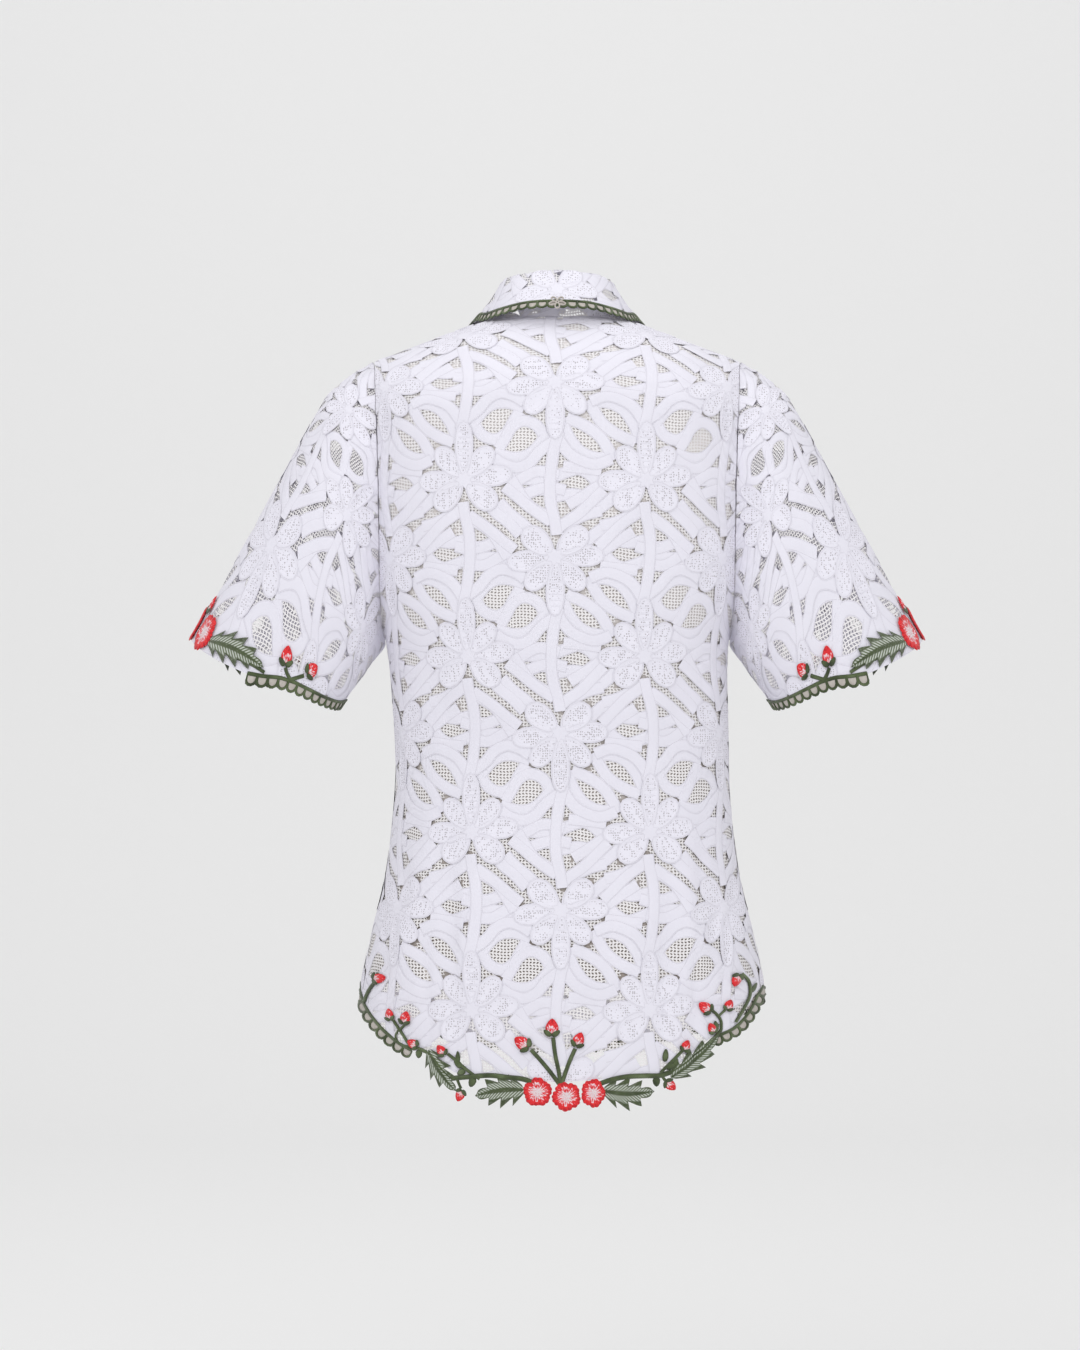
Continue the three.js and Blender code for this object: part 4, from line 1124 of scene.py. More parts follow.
def petal_outline(petal, inset=0.0):
    """A leaf-like outline that is rounder at its outer end."""
    outline = []
    for turn in turns_round(PETAL_SIDES):
        share = 0.5 + 0.5 * math.cos(turn)
        ahead = petal["start"] + 1.7 * inset + (petal["length"] - 2.7 * inset) * share
        aside = (petal["width"] / 2 - inset) * math.sin(turn) * (0.78 + 0.42 * share)
        outline.append(moved_from((0, 0), math.radians(petal["angle"]), ahead, aside))
    return outline


# Rings of a petal: how far in, height, slot, and where it lies from a tape's middle to its edge.
PETAL_RINGS = [
    (0.5, 0.12, TAPE, 0.97), (1.1, 0.13, TAPE, 0.84), (3.0, 0.11, TAPE, 0.6),
    (3.4, -0.05, PETAL, 0.97), (4.8, -0.05, PETAL, 0.5), (5.3, 0.05, TAPE, 0.5), (5.8, -0.05, PETAL, 0.3),
]
LADDER_RINGS = PETAL_RINGS[:4]


def petal_patch(bm, petal, petal_rings, lift):
    rings = [(petal_outline(petal, inset), *rest) for inset, *rest in petal_rings]
    centre = moved_from((0, 0), math.radians(petal["angle"]), petal["start"] + petal["length"] / 2)
    patch(bm, petal_outline(petal), rings, lift, PETAL, centre)


def seen_from_outside(points):
    """The cloth's measure across runs the other way from how its outer face is seen."""
    return [(-x, y) for x, y in points]


def repeat_mesh():
    bm = flat_work()
    for i, points in enumerate(TAPES):
        ribbon(bm, seen_from_outside(points), TAPE_HALF, TAPE_PROFILE, i * LIFT_STEP, TAPE, TAPE_STEP)
    for i, petal in enumerate(PETALS):
        petal_patch(bm, petal, PETAL_RINGS, PETAL_LIFT + i * PETAL_STEP)
    lift = PETAL_LIFT + len(PETALS) * PETAL_STEP
    petal_patch(bm, LADDER, LADDER_RINGS, lift)
    for i in range(LADDER_RUNGS):
        y = -LADDER["start"] - LADDER["length"] * (0.2 + 0.62 * i / (LADDER_RUNGS - 1))
        ribbon(bm, [(-5, y), (0, y + 0.6), (5, y)], 0.75, THIN_PROFILE, lift - 0.06, TAPE, step=5)
    star = [moved_from((0, 0), turn, STAR_REACH[i % 2]) for i, turn in enumerate(turns_round(STAR_CORNERS))]
    patch(bm, star, stepped_rings(star, STAR_RINGS, (0, 0)), lift + PETAL_STEP, TAPE, (0, 0))
    return finished_mesh(bm, "lace_repeat")


def covering_paths():
    """Where tapes and petals lie in one repeat, counting those that reach in from its neighbours."""
    own = [smooth_path(seen_from_outside(points), 2.0) for points in TAPES]
    petals = []
    for petal in PETALS + [LADDER]:
        heading = math.radians(petal["angle"])
        reach = petal["start"] + petal["length"] * np.linspace(0.05, 0.92, 12)
        petals.append(np.stack([reach * math.cos(heading), reach * math.sin(heading)], axis=1))
    tapes = []
    shapes = []
    neighbours = [(0, dy, 1) for dy in (0, TILE_HEIGHT, -TILE_HEIGHT)]
    for dx in (-TILE_WIDTH, TILE_WIDTH):
        neighbours += [(dx, dy - TURNED_DROP, -1) for dy in (0, TILE_HEIGHT, -TILE_HEIGHT)]
    for dx, dy, sign in neighbours:
        tapes += [sign * path + np.array([dx, dy]) for path in own]
        shapes += [sign * path + np.array([dx, dy]) for path in petals]
    return np.concatenate(tapes), np.concatenate(shapes)


def nearest(points, x, y):
    return float(np.min(np.hypot(points[:, 0] - x, points[:, 1] - y)))


NET_COLUMNS = 26
NET_ROWS = 56
NET_DEPTH = -0.25
NET_WAVE = 1.6
NET_TUCK = 2.2
PETAL_COVER = 6


def net_mesh(name, bar):
    """The net of one repeat, left out wherever a tape or a petal covers it. Every other row is
    shifted by half a hole, as needle-made nets are. bar is half the width of a thread."""
    tape_points, petal_points = covering_paths()
    bm = flat_work()
    for vert, i, row in grid_places(bm, NET_COLUMNS, NET_ROWS)[0]:
        x = vert.co.x * TILE_WIDTH / 2
        y = vert.co.y * TILE_HEIGHT / 2
        shift = 0 if i in (0, NET_COLUMNS) or row % 2 == 0 else TILE_WIDTH / NET_COLUMNS / 2
        wave = math.sin(4 * math.pi * x / TILE_WIDTH) * math.cos(2 * math.pi * y / TILE_HEIGHT)
        vert.co = (x + shift, y + NET_WAVE * wave, NET_DEPTH)
    covered = []
    for face in bm.faces:
        x, y, _ = face.calc_center_median()
        if nearest(tape_points, x, y) < TAPE_HALF - NET_TUCK or nearest(petal_points, x, y) < PETAL_COVER:
            covered.append(face)
    bmesh.ops.delete(bm, geom=covered, context="FACES")
    holes = bm.faces[:]
    bmesh.ops.inset_individual(bm, faces=holes, thickness=bar, use_even_offset=True)
    bmesh.ops.delete(bm, geom=holes, context="FACES_ONLY")
    face_up(bm.faces, NET)
    return finished_mesh(bm, name)


REPEAT = repeat_mesh()
BODY_NET = net_mesh("body_net_repeat", 0.62)
SLEEVE_NET = net_mesh("sleeve_net_repeat", 0.46)
print("faces in one repeat of tapes and of net:", len(REPEAT.polygons), len(BODY_NET.polygons))

# %% [markdown]
# The lace panels: back, two fronts, two sleeves and the collar. Repeats are set out in columns, every
# other one set lower and turned half round, over more than the panel's size, and then cut to the
# panel's outline. Only repeats that reach into the panel are kept.


# %% Lace panels
TILE_REACH_X = 78
TILE_REACH_Y = 140
TILE_SAMPLES = 15


def lace_work(repeat, inside, origin, span_x, span_y):
    """Set out a repeat over a panel's size and cut it to the panel's outline."""
    bm = flat_work()
    first, last = (math.floor((x - origin[0]) / TILE_WIDTH) for x in span_x)
    for column in range(first - 1, last + 2):
        turned = column % 2 != 0
        x = origin[0] + column * TILE_WIDTH
        low = origin[1] - (TURNED_DROP if turned else 0)
        lowest, highest = (math.floor((y - low) / TILE_HEIGHT) for y in span_y)
        for row in range(lowest - 1, highest + 3):
            y = low + row * TILE_HEIGHT
            near_x = np.linspace(-TILE_REACH_X, TILE_REACH_X, TILE_SAMPLES) + x
            near_y = np.linspace(-TILE_REACH_Y, TILE_REACH_Y, TILE_SAMPLES) + y
            grid_x, grid_y = np.meshgrid(near_x, near_y)
            if inside(grid_x.ravel(), grid_y.ravel()).max() > 0:
                add_flat(bm, repeat, turned, x, y)
    cut_outline(bm, inside)
    return bm


# How far each kind of panel reaches across and up, a little more than its cloth does.
BODY_SPANS = {0: (-290, 290), 1: (0, 290), -1: (-290, 0)}
BODY_HEIGHTS = (-700, 110)
SLEEVE_SPANS = ((-305, 305), (0, 330))
COLLAR_SPANS = ((-260, 260), (0, 130))


def lace_and_net(place, net, form, origin, spans, *nodes):
    """A panel's tapes and flowers, in the place of its solids, and its net. form is the panel's
    outline, its surface, the way that it faces and how far out the lace lies."""
    inside, surface, facing, rise = form
    pieces = []
    for name, repeat, replaced in (("lace_" + place, REPEAT, nodes), ("net_" + place, net, ())):
        mesh = laid(lace_work(repeat, inside, origin, *spans), name, surface, facing, rise)
        pieces.append(make_piece(name, [mesh], LACE_MATERIALS, "lace", *replaced))
    return pieces


def body_lace(place, side, half, origin):
    inside = lambda u, v: panel_inside(side, u, v, half=half)
    form = (inside, body_cloth(side), -side, LACE_RISE)
    return lace_and_net(place, BODY_NET, form, origin, (BODY_SPANS[half], BODY_HEIGHTS), place)


BACK_ORIGIN = (2, -200)
FRONT_ORIGIN = (40, -175)
SLEEVE_ORIGIN = (64, 84)
COLLAR_ORIGIN = (0, 14)
lace_back, net_back = body_lace("back", 1, 0, BACK_ORIGIN)
lace_fronts = {}
net_fronts = {}
for half, name in SIDES.items():
    origin = (half * FRONT_ORIGIN[0], FRONT_ORIGIN[1])
    lace_fronts[half], net_fronts[half] = body_lace("front_" + name, -1, half, origin)
lace_sleeves = {}
net_sleeves = {}
for wearer, name in SIDES.items():
    form = (lambda a, b: sleeve_inside(wearer, a, b), sleeve_cloth(wearer), wearer, LACE_RISE)
    nodes = [f"sleeve_{name}_back", f"sleeve_{name}_front"]
    lace_sleeves[wearer], net_sleeves[wearer] = lace_and_net(
        "sleeve_" + name, SLEEVE_NET, form, SLEEVE_ORIGIN, SLEEVE_SPANS, *nodes,
    )
form = (collar_inside, collar_cloth, -1, 0.0)
lace_collar, net_collar = lace_and_net("collar", BODY_NET, form, COLLAR_ORIGIN, COLLAR_SPANS, "collar")

# %% [markdown]
# The lining of the body shows through the nets, pale high up and darkened low down by painted shade, and ends
# level, a little above the hem.
# It is a plain thin shell a few millimetres inside the lace. It has no sleeves.

# %% Lining
LINING_COLUMNS = 56
LINING_ROWS = 72
LINING_HALF_WIDTH = 285
LINING_MIDDLE_Z = -250
LINING_HALF_HEIGHT = 355


def lining(part, side, half):
    bm = flat_work()
    bmesh.ops.create_grid(bm, x_segments=LINING_COLUMNS, y_segments=LINING_ROWS, size=1)
    for vert in bm.verts:
        x = vert.co.x if half == 0 else half * (vert.co.x + 1) / 2
        vert.co = (x * LINING_HALF_WIDTH, LINING_MIDDLE_Z + vert.co.y * LINING_HALF_HEIGHT, 0)
    face_up(bm.faces)
    cut_outline(bm, lambda u, v: panel_inside(side, u, v, LINING_HEM_Z, half))
    name = f"lining_{part}_cloth"
    mesh = laid(bm, name, body_cloth(side), -side, -LINING_DEPTH)
    return make_piece(name, [mesh], ["lining_cloth"], "lining", "lining_" + part)


linings = {0: lining("back", 1, 0)}
for half, name in SIDES.items():
    linings[half] = lining("front_" + name, -1, half)

# %% [markdown]
# Scalloped edging. A green satin-stitched cord runs along each edge, and small scallops hang from it,
# each a bit of pale cloth held by its own green loop. One function makes them along a straight line,
# and each edge then bends that line: hem, cuffs and collar.

# %% Scalloped edging
CORD_PROFILE = [(-1, -0.2), (-0.72, 0.62), (0, 1.0), (0.72, 0.62), (1, -0.2)]
EDGE_CORD_HALF = 1.5
SCALLOP_PITCH = 8.9
SCALLOP_DEPTH = 8.6
RIM_HALF = 1.2


def scallop_curve(middle, pitch, depth, width_share, count):
    """A hanging loop, from one end of its pitch to the other."""
    turns = np.linspace(0, math.pi, count)
    xs = middle - width_share * pitch * np.cos(turns)
    ys = -0.8 - depth * np.maximum(np.sin(turns), 0) ** 0.62
    return list(zip(xs, ys))


def edging_work(low, high, depth=SCALLOP_DEPTH):
    """Edging along a straight line: x runs along the edge, and y is the drop below it, negative."""
    bm = flat_work()
    middle = (low + high) / 2
    ribbon(bm, [(low, -0.4), (middle, -0.4), (high, -0.4)], EDGE_CORD_HALF, CORD_PROFILE, 0.5, STEM, step=3)
    count = max(1, round((high - low) / SCALLOP_PITCH))
    pitch = (high - low) / count
    for i in range(count):
        middle = low + (i + 0.5) * pitch
        rim = scallop_curve(middle, pitch, depth - RIM_HALF, 0.5, 11)
        ribbon(bm, rim, RIM_HALF, CORD_PROFILE, 0.35 + 0.1 * (i % 2), STEM, step=2.2)
        cell = scallop_curve(middle, pitch, depth - RIM_HALF - 0.3, 0.44, 9)
        centre = (middle, -depth / 2)
        patch(bm, cell, [(drawn_in(cell, 0.6, centre), 0.5, SCALLOP, 0.5)], 0.05, SCALLOP, centre)
    return bm


def line_surface(cloth, points):
    """A surface that follows a line drawn on a cloth: s along it, and d below it, negative."""
    path = smooth_path(points, 2.0)
    lengths = path_lengths(path)
    slope = np.gradient(path, lengths, axis=0)
    kernel = np.ones(9) / 9
    for i in range(2):
        slope[:, i] = np.convolve(np.pad(slope[:, i], 4, mode="edge"), kernel, mode="valid")
    slope = unit(slope)

    def surface(s, d):
        turn_x = np.interp(s, lengths, slope[:, 0])
        turn_y = np.interp(s, lengths, slope[:, 1])
        x = np.interp(s, lengths, path[:, 0]) - d * turn_y
        y = np.interp(s, lengths, path[:, 1]) + d * turn_x
        return cloth(x, y)

    return surface, lengths[-1]


def body_by_x_within(side):
    """As body_by_x, but kept just inside the side seams."""
    plain = body_by_x(side)

    def surface(x, v):
        limit = 0.999 * level("half", v)
        return plain(np.clip(x, -limit, limit), v)

    return surface


def edging_mesh(cloth, points, facing, trim=0.0):
    """Edging laid along a line drawn on a cloth, a little short of each of its ends."""
    seen, length = line_surface(cloth, points)
    return laid(edging_work(trim, length - trim), "edging", seen, facing, 0.0)


def edging_piece(place, rest, meshes):
    name = f"edging_{place}{rest}"
    return make_piece(name, meshes, STITCH_MATERIALS, "green_stitching", f"{place}_edging{rest}")


# The back hem's scalloped lengths, on the wearer's left and right.
BACK_EDGES = {
    1: [(188.5, -590), (186, -601), (180, -613), (170, -625), (158, -636), (147, -643), (136, -648)],
    -1: [(-136, -637), (-146, -633), (-157, -628), (-166, -620), (-173, -611), (-179, -601), (-185, -594)],
}


def back_as_seen(x, v):
    return body_by_x_within(1)(-x, v)


meshes = [edging_mesh(back_as_seen, seen_from_outside(BACK_EDGES[sign]), 1) for sign in (1, -1)]
edging_back = edging_piece("hem", "_back", meshes)


def front_hem_points(half):
    """The front hem from the front edge to the side seam, or the other way, left to right."""
    shares = np.linspace(0.004, 0.996, 24)
    heights = hem_height(-1, shares)
    points = list(zip(half * x_of_share(shares, heights), heights))
    return points if half > 0 else points[::-1]


for half, name in SIDES.items():
    mesh = edging_mesh(body_by_x_within(-1), front_hem_points(half), 1, trim=0.5)
    edging_piece("hem", "_front_" + name, [mesh])

SCALLOPED_CUFF_FROM = 95
CORD_ABOVE_CUFF = 0.6
for wearer, name in SIDES.items():
    half_girth = float(SLEEVE_MEASURES[wearer][3][-1]) - 0.5
    meshes = []
    for span in ((-half_girth, -SCALLOPED_CUFF_FROM), (SCALLOPED_CUFF_FROM, half_girth)):
        places = np.linspace(*span, 30)
        points = [(a, float(np.interp(abs(a), *zip(*CUFF_LINE))) + CORD_ABOVE_CUFF) for a in places]
        meshes.append(edging_mesh(sleeve_cloth(wearer), points, wearer))
    edging_piece("cuff", "_" + name, meshes)

COLLAR_SCALLOP_DEPTH = 8.2
COLLAR_EDGING_RISE = 0.3
MOTIF_LOOPS = 5


def back_motif(bm):
    """Pale loops at the middle of the collar's edge, like a small open flower."""
    for i in range(MOTIF_LOOPS):
        turn = math.pi * (i - 2) / 2.6 - math.pi / 2
        loop = []
        for around in np.linspace(0, 2 * math.pi, 9):
            loop.append(moved_from((0, -2.5), turn, 4.2 - 3.4 * math.cos(around), 1.9 * math.sin(around)))
        ribbon(bm, loop, 0.75, CORD_PROFILE, 1.3, SCALLOP, step=2)


collar_half = float(COLLAR_LENGTHS[-1]) - 0.5
work = edging_work(-collar_half, collar_half, COLLAR_SCALLOP_DEPTH)
back_motif(work)
mesh = laid(work, "edging_collar", collar_cloth, -1, COLLAR_EDGING_RISE)
edging_collar = edging_piece("collar", "", [mesh])

# %% [markdown]
# Embroidery pieces. A stem is a rounded cord of satin stitch. A bud is a small dome of red thread
# held by two dark leaves. A leaf has saw teeth, a green rim and midrib and pale hatching. A flower
# has five rounded, notched petals round a pale middle. They are made flat and then laid on the cloth.

# %% Embroidery pieces
STEM_HEIGHT = 0.75
# Rings of a raised patch, inwards: share of its reach, height, slot, and share from its middle to its edge.
SMALL_LEAF_RINGS = [(0.7, 0.7, STEM, 0.6), (0.3, 1.0, STEM, 0.2)]
BUD_RINGS = [
    (0.88, 0.8, BLOOM, 1.0), (0.65, 1.3, BLOOM, 0.6), (0.38, 1.6, BLOOM, 0.3), (0.12, 1.7, BLOOM, 0.2),
]
# Across a saw leaf, from edge to edge: share of its half width, and height.
SAW_LEAF_PROFILE = [
    (-1, 0.0), (-0.84, 0.95), (-0.5, 0.75), (-0.12, 0.6), (0, 1.15), (0.12, 0.6), (0.5, 0.75), (0.84, 0.95),
    (1, 0.0),
]
SAW_LEAF_STEPS = 6
# A tooth's reach as a share of the half width, in its notch and how much more at its tip.
SAW_NOTCH = 0.36
SAW_TOOTH = 0.76
SAW_SWEEP = 6.5
SAW_LEAF_BEND = 0.05
BLOOM_CORNERS = 80
# Shares of a flower's radius: its round middle, and what its petals and its frill add.
BLOOM_ROUND = 0.79
BLOOM_PETALS = 0.14
BLOOM_FRILL = 0.08
BLOOM_RINGS = [
    (0.95, 0.9, BLOOM, 1.0), (0.80, 1.3, BLOOM, 0.82), (0.64, 1.1, BLOOM, 0.50), (0.42, 0.8, BLOOM, 0.26),
    (0.2, 0.9, BLOOM, 0.1), (0.06, 1.0, BLOOM, 0.0),
]


def stem(bm, points, half_width, lift=0.0):
    profile = [(offset, height * half_width * STEM_HEIGHT) for offset, height in CORD_PROFILE]
    ribbon(bm, points, half_width, profile, lift, STEM, step=3)


def small_leaf(bm, at, angle, length, width, lift=0.3):
    outline = []
    for turn in turns_round(10):
        ahead = length * (0.5 + 0.5 * math.cos(turn))
        aside = width / 2 * math.sin(turn) * (1 - 0.25 * math.cos(turn))
        outline.append(moved_from(at, angle, ahead, aside))
    centre = moved_from(at, angle, length / 2)
    patch(bm, outline, stepped_rings(outline, SMALL_LEAF_RINGS, centre), lift, STEM, at)


def bud(bm, middle, angle, size):
    """A bud round its middle; angle is the way that it points. Its base is pale, its tip red."""
    outline = []
    for turn in turns_round(16):
        ahead = size * 0.58 * math.cos(turn) * (1 + 0.16 * max(math.cos(turn), 0) ** 6)
        aside = size * 0.49 * math.sin(turn) * (1 - 0.16 * math.cos(turn))
        outline.append(moved_from(middle, angle, ahead, aside))
    base = moved_from(middle, angle, -0.62 * size)
    for vert in patch(bm, outline, stepped_rings(outline, BUD_RINGS, middle), 0.5, BLOOM, base):
        reach = (vert[layer(bm, "along")] / size - 0.25) / 0.95
        vert[layer(bm, "edge")] = max(min(reach, 1.0), 0.85 * vert[layer(bm, "edge")] ** 3)
    for side in (-1, 1):
        small_leaf(bm, base, angle + side * 1.0, size * 0.74, size * 0.46, 1.3)


def saw_leaf(bm, base, tip, width, teeth, lift=0.6):
    """A leaf with deep saw teeth, as rows from its base to its tip."""
    dx, dy = tip[0] - base[0], tip[1] - base[1]
    length = math.hypot(dx, dy)
    ux, uy = dx / length, dy / length
    places, faces = grid_places(bm, teeth * SAW_LEAF_STEPS, len(SAW_LEAF_PROFILE) - 1)
    for vert, i, j in places:
        t = i / (teeth * SAW_LEAF_STEPS)
        offset, height = SAW_LEAF_PROFILE[j]
        out = abs(offset)
        envelope = math.sin(math.pi * min(t + 0.03, 1.0) ** 0.8) ** 0.65 if 0 < t < 1 else 0.03
        phase = (t * teeth) % 1
        saw = SAW_NOTCH + SAW_TOOTH * phase
        half = width / 2 * envelope * (1 + (saw - 1) * out ** 1.4)
        swept = SAW_SWEEP * out * (phase - 0.3) * envelope
        bend = SAW_LEAF_BEND * length * math.sin(math.pi * t)
        ahead = t * length + swept
        aside = offset * half + bend
        vert.co = (base[0] + ahead * ux - aside * uy, base[1] + ahead * uy + aside * ux, lift + height)
        vert[layer(bm, "along")] = ahead
        vert[layer(bm, "across")] = -out * half
        vert[layer(bm, "edge")] = out
    face_up(faces, LEAF)


def bloom(bm, at, radius, turn0, squash=1.0, lift=1.0):
    """A flower of five petals with an uneven, frilled edge and a few pale stamens."""
    outline = []
    for turn in turns_round(BLOOM_CORNERS):
        petals = abs(math.cos(2.5 * (turn - turn0))) ** 0.6
        frill = abs(math.cos(8.5 * (turn - turn0) + 0.8 * math.sin(2 * turn))) ** 0.7
        reach = radius * (BLOOM_ROUND + BLOOM_PETALS * petals + BLOOM_FRILL * frill)
        outline.append((at[0] + reach * math.cos(turn) * squash, at[1] + reach * math.sin(turn)))
    patch(bm, outline, stepped_rings(outline, BLOOM_RINGS, at), lift, BLOOM, at)
    for i in range(5):
        turn = turn0 + 2 * math.pi * (i + 0.5) / 5
        dot = []
        for around in turns_round(6):
            x, y = moved_from((0, 0), turn, 2.9 + 0.8 * math.cos(around), 0.8 * math.sin(around))
            dot.append((at[0] + x * squash, at[1] + y))
        middle = tuple(np.mean(dot, axis=0))
        for vert in patch(bm, dot, [(drawn_in(dot, 0.5, middle), 0.5, BLOOM, 0)], lift + 0.8, BLOOM, at):
            vert[layer(bm, "edge")] = -0.4


def embroidery(stems=(), small_leaves=(), buds=(), saw_leaves=(), stem_lift=0.0):
    """Flat work from tables. A stem has its points and half width, a small leaf its place, angle,
    length and width, a bud its place, angle and size, and a saw leaf its ends, width and teeth."""
    bm = flat_work()
    for points, half_width in stems:
        stem(bm, points, half_width, stem_lift)
    for leaf in small_leaves:
        small_leaf(bm, *leaf, 0.6)
    for row in buds:
        bud(bm, *row)
    for leaf in saw_leaves:
        saw_leaf(bm, *leaf)
    return bm


def flower_row(flowers):
    """Flowers side by side, each lapping over the one before it."""
    bm = flat_work()
    for i, flower in enumerate(flowers):
        bloom(bm, *flower, lift=0.8 + 0.35 * i)
    return bm


def stitch(bm, name, surface, facing, slot, *nodes):
    mesh = laid(bm, name, surface, facing, STITCHING_GAP - STITCHING_SINK)
    return make_piece(name, [mesh], STITCH_MATERIALS, slot, *nodes)


print("embroidery pieces are ready")

# %% [markdown]
# The hem's embroidery, as seen from behind. Three red flowers stand in the middle with three buds on
# long stems above them. On each side a vine runs out along the edge, with saw-toothed leaves, small
# leaves and buds, and curls up at the side seam. Its places are measured across and up, so it keeps
# its place over the curve of the hips.

# %% Hem embroidery
# In each table 1 is the wearer's left side and -1 the right. The columns are those of embroidery().
HEM_STEMS = {
    1: [
        ([(26, -675), (36, -671.5), (50, -670), (66, -668.5), (84, -670), (101, -672)], 2.3),
        ([(75, -672), (84, -666), (94, -658), (104, -650)], 1.5),
        ([(101, -672), (110, -663), (117, -654), (124, -649), (131, -646)], 1.6),
        ([(96, -672), (94, -677), (92, -681)], 1.4),
        ([(131, -646), (139, -643), (144, -636), (149, -629), (154, -622)], 1.4),
        ([(148, -630), (145, -627), (143, -624)], 1.2),
        ([(138, -645), (147, -643), (152, -637), (149, -630)], 1.0),
        ([(182, -608), (179, -600), (175, -593), (171, -588)], 1.5),
    ],
    -1: [
        ([(-32, -676), (-44, -672), (-58, -669.5), (-74, -669), (-88, -669), (-98, -666)], 2.3),
        ([(-88, -667), (-95, -660), (-102, -653), (-108, -647)], 1.5),
        ([(-98, -666), (-112, -657), (-126, -646), (-138, -636), (-144, -630)], 1.6),
        ([(-90, -670), (-92, -673), (-94, -675)], 1.4),
        ([(-144, -630), (-144, -622), (-139, -615), (-134, -611)], 1.4),
        ([(-142, -617), (-147, -613), (-150, -610)], 1.2),
        ([(-157, -624), (-165, -612), (-171, -600), (-170, -588), (-163, -580)], 1.5),
    ],
}
HEM_BUDS = {
    1: [
        ((168, -585), 2.9, 9), ((158, -617), 1.3, 8.5), ((143, -619), 1.8, 9.5),
        ((136, -642), 0.45, 8.5), ((110, -647), 0.9, 8.5), ((93, -687), -1.15, 9),
    ],
    -1: [
        ((-158, -586), -1.2, 9), ((-151, -608), 2.0, 8), ((-129, -609), 0.7, 10),
        ((-135, -628), 1.1, 8), ((-111, -643), 2.0, 8.5), ((-97, -678), -2.4, 9),
    ],
}
HEM_SMALL_LEAVES = {
    1: [
        ((95, -659), 1.55, 12, 5), ((91, -662), 0.7, 10, 6), ((88, -664), -0.5, 9, 6),
        ((130, -647), -1.5, 8, 6), ((172, -590), 1.9, 11, 4.5), ((80, -670), -1.2, 10, 7),
    ],
    -1: [
        ((-92, -657), 1.7, 12, 5.5), ((-93, -662), 2.9, 9, 6.5), ((-100, -662), 1.9, 9, 5.5),
        ((-84, -670), -1.6, 9, 7), ((-140, -630), 1.3, 9, 5), ((-172, -598), 2.2, 10, 4.5),
    ],
}
HEM_SAW_LEAVES = {
    1: [((35, -681), (79, -687), 33, 4), ((122, -647), (97, -683), 24, 4)],
    -1: [((-36, -682), (-82, -683), 32, 4), ((-97, -671), (-141, -634), 24, 4)],
}
# Flowers: place, radius, turn and how far they are squashed by being seen aslant.
HEM_BLOOMS = [((23, -683), 13.4, 0.3, 1.0), ((-3, -687), 13.6, 1.1, 0.98), ((-27, -684), 13.4, 0.7, 0.84)]
# The spray's stems, each with its bud.
SPRAY = [
    ([(2, -678), (10, -667), (19, -656), (29, -645)], ((37, -639), 0.6, 12)),
    ([(2, -678), (4, -664), (7, -650), (9, -634)], ((10, -625), 1.6, 12)),
    ([(2, -678), (-2, -666), (-6, -655), (-11, -644)], ((-14, -636), 1.95, 10.5)),
]
SPRAY_STEM_HALF = 1.9

for sign, name in SIDES.items():
    bm = embroidery(HEM_STEMS[sign], HEM_SMALL_LEAVES[sign], HEM_BUDS[sign], HEM_SAW_LEAVES[sign], 0.4)
    nodes = [f"hem_vine_{name}", f"hem_leaf_{name}_outer", f"hem_leaf_{name}_inner"]
    stitch(bm, "vine_hem_" + name, body_by_x_within(1), -1, "green_stitching", *nodes)

bm = flat_work()
for points, its_bud in SPRAY:
    stem(bm, points, SPRAY_STEM_HALF)
    bud(bm, *its_bud)
spray = stitch(bm, "spray_hem", body_by_x(1), -1, "green_stitching", "hem_spray")
nodes = [f"hem_flower_{place}" for place in ("left", "middle", "right")]
blooms = stitch(flower_row(HEM_BLOOMS), "blooms_hem", body_by_x(1), -1, "red_stitching", *nodes)

# %% [markdown]
# The cuffs' embroidery repeats the hem's: three flowers round the outer line, then a saw-toothed leaf
# and two buds on a forked stem on each side of them, behind and in front.

# %% Cuff embroidery
CUFF_STEMS = [
    ([(131, 11.5), (126, 15), (123, 18)], 1.6),
    ([(131, 11.5), (136, 15), (142, 19)], 1.6),
    ([(44, 8), (58, 7), (78, 8), (96, 9), (108, 8)], 1.3),
]
CUFF_BUDS = [((121, 26), 1.75, 11), ((149, 26), 0.75, 11), ((16, 28), 1.5, 10)]
CUFF_LEAF = ((46, 8), (106, 11), 24, 5)
CUFF_BLOOMS = [((-34, 11), 13.2, 0.4), ((34, 11), 13.2, 0.9), ((0, 11), 13.2, 0.2)]


def mirrored(points, half):
    return [(half * x, y) for x, y in points]


sprays = {1: [], -1: []}
for wearer, name in SIDES.items():
    surface = sleeve_cloth(wearer)
    for half, half_name in ((1, "back"), (-1, "front")):
        stems = [(mirrored(points, half), half_width) for points, half_width in CUFF_STEMS]
        buds = []
        for at, angle, size in CUFF_BUDS:
            buds.append(((half * at[0], at[1]), angle if half > 0 else math.pi - angle, size))
        leaf = (*mirrored(CUFF_LEAF[:2], half), *CUFF_LEAF[2:])
        part = f"{name}_{half_name}"
        bm = embroidery(stems, [], buds, [leaf])
        nodes = ["cuff_spray_" + part, "cuff_leaf_" + part]
        sprays[wearer].append(stitch(bm, "vine_cuff_" + part, surface, wearer, "green_stitching", *nodes))
    nodes = [f"cuff_flower_{name}_{place}" for place in ("back", "middle", "front")]
    bm = flower_row(CUFF_BLOOMS)
    sprays[wearer].append(stitch(bm, "blooms_cuff_" + name, surface, wearer, "red_stitching", *nodes))
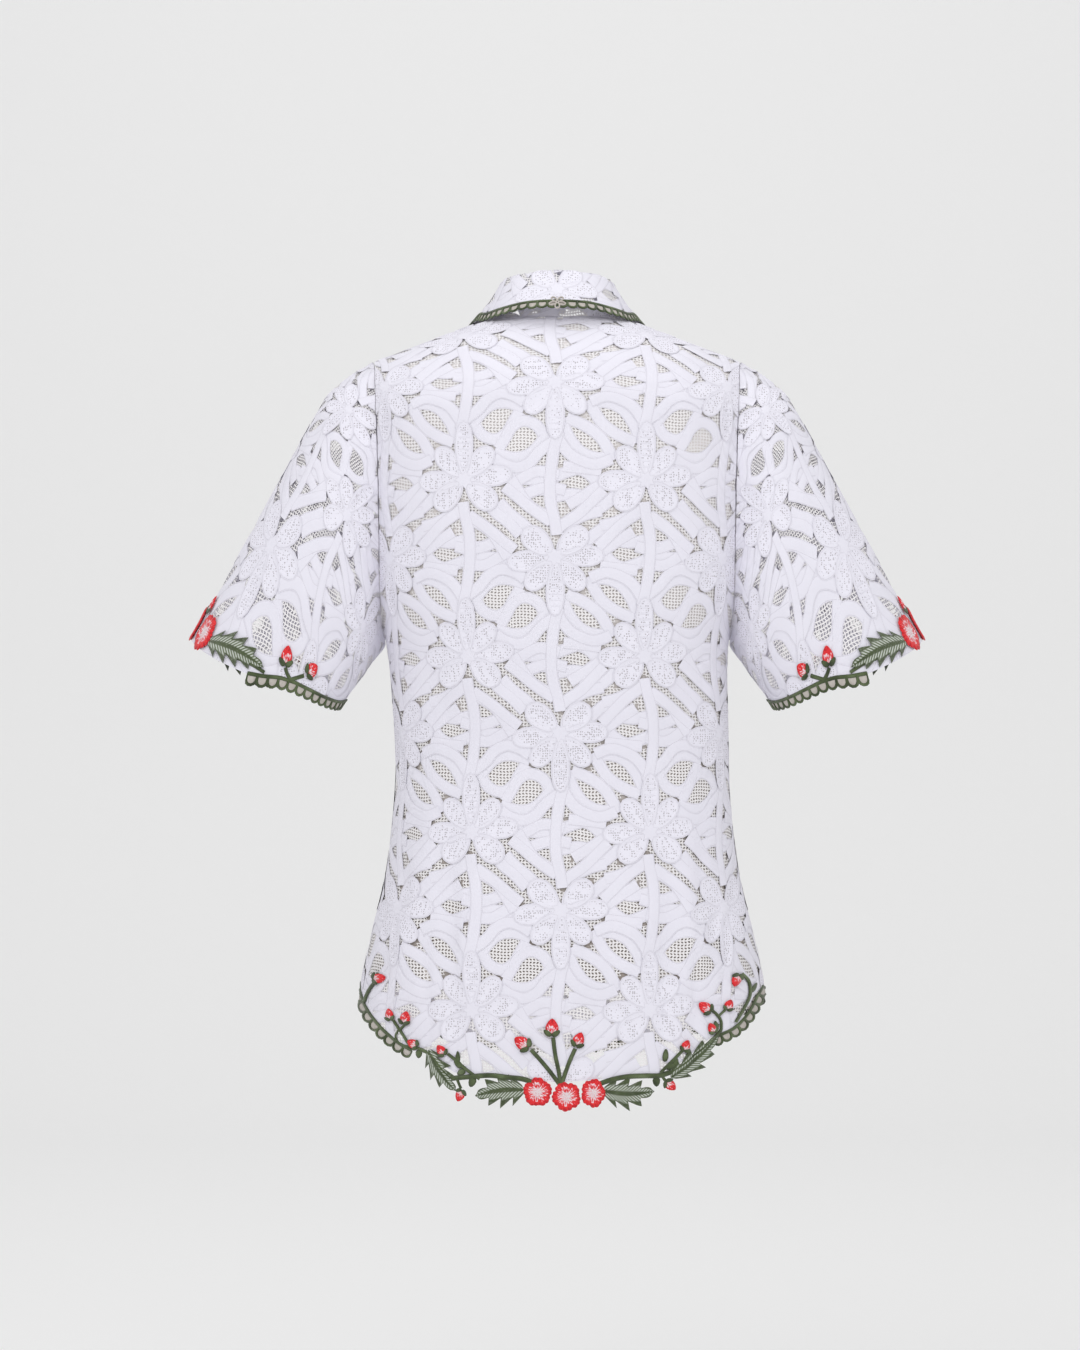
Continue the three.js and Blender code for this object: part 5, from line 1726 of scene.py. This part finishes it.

# %% [markdown]
# A loop over the two sides follows, which makes nothing.

for wearer in (1, -1):
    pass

# %% [markdown]
# The stage: a plain pale floor that curves up into a plain pale wall, soft light from the camera's
# side and from above, and a long lens four metres behind the garment, level with its middle. One
# more light is for the wall alone.

# %% Stage, light and camera
MM_PER_PIXEL = 0.93
PHOTO_HEIGHT = 1350
CAMERA_DISTANCE = 4.0
CAMERA_X = 0.0158
CAMERA_Z = -0.307
FLOOR_Z = -1.15
WALL_Y = -4.8
STAGE_HALF_WIDTH = 7
WALL_TOP = 4.0
FLOOR_FRONT = 4.5
CURVE_RADIUS = 1.0
STAGE_GREY = 0.94
WORLD_STRENGTH = 0.665
MIDDLE = (0.0, 0.0, -0.3)


def stage_floor():
    bm = bmesh.new()
    profile = [(FLOOR_FRONT, FLOOR_Z), (0.0, FLOOR_Z), (WALL_Y + CURVE_RADIUS, FLOOR_Z)]
    for turn in np.linspace(0, math.pi / 2, 13)[1:]:
        y = WALL_Y + CURVE_RADIUS * (1 - math.sin(turn))
        profile.append((y, FLOOR_Z + CURVE_RADIUS * (1 - math.cos(turn))))
    profile.append((WALL_Y, WALL_TOP))
    verts = [bm.verts.new((-STAGE_HALF_WIDTH, y, z)) for y, z in profile]
    edges = [bm.edges.new(pair) for pair in zip(verts, verts[1:])]
    made = bmesh.ops.extrude_edge_only(bm, edges=edges)
    moved = [item for item in made["geom"] if isinstance(item, bmesh.types.BMVert)]
    bmesh.ops.translate(bm, verts=moved, vec=(2 * STAGE_HALF_WIDTH, 0, 0))
    bmesh.ops.recalc_face_normals(bm, faces=bm.faces[:])
    mesh = finished_mesh(bm, "stage_floor")
    paint = Paint("stage_paper", 1.0, specular=0.0)
    paint.colour(grey(STAGE_GREY))
    mesh.materials.append(paint.material)
    linked("stage_floor", mesh)


def area_light(name, place, target, size, power):
    data = bpy.data.lights.new(name, "AREA")
    data.shape = "SQUARE"
    data.size = size
    data.energy = power
    light = linked(name, data)
    light.location = place
    light.rotation_euler = (Vector(target) - Vector(place)).to_track_quat("-Z", "Y").to_euler()


stage_floor()
area_light("key", (1.2, 3.0, 1.6), MIDDLE, 1.6, 18)
area_light("fill", (-2.2, 2.6, 0.4), MIDDLE, 2.2, 8)
area_light("top", (0.0, 0.3, 2.4), MIDDLE, 2.0, 13)
area_light("yoke", (0.0, 1.7, 1.0), (0.0, 0.1, -0.05), 0.9, 7)
area_light("wall", (0.0, -2.2, 2.2), (0.0, WALL_Y, -0.6), 3.0, 14)

world = bpy.data.worlds.new("studio")
world.use_nodes = True
background = world.node_tree.nodes["Background"]
background.inputs["Color"].default_value = WHITE
background.inputs["Strength"].default_value = WORLD_STRENGTH
bpy.context.scene.world = world

camera_data = bpy.data.cameras.new("camera")
camera_data.sensor_fit = "VERTICAL"
camera_data.sensor_height = 36
camera_data.lens = 36 * CAMERA_DISTANCE / (PHOTO_HEIGHT * MM_PER_PIXEL * MM)
camera = linked("camera", camera_data)
camera.location = (CAMERA_X, CAMERA_DISTANCE, CAMERA_Z)
camera.rotation_euler = (math.pi / 2, 0, math.pi)
bpy.context.scene.camera = camera
bpy.context.scene.view_settings.view_transform = "Standard"
bpy.context.scene.view_settings.look = "None"
print("camera lens:", round(camera_data.lens, 1), "mm")
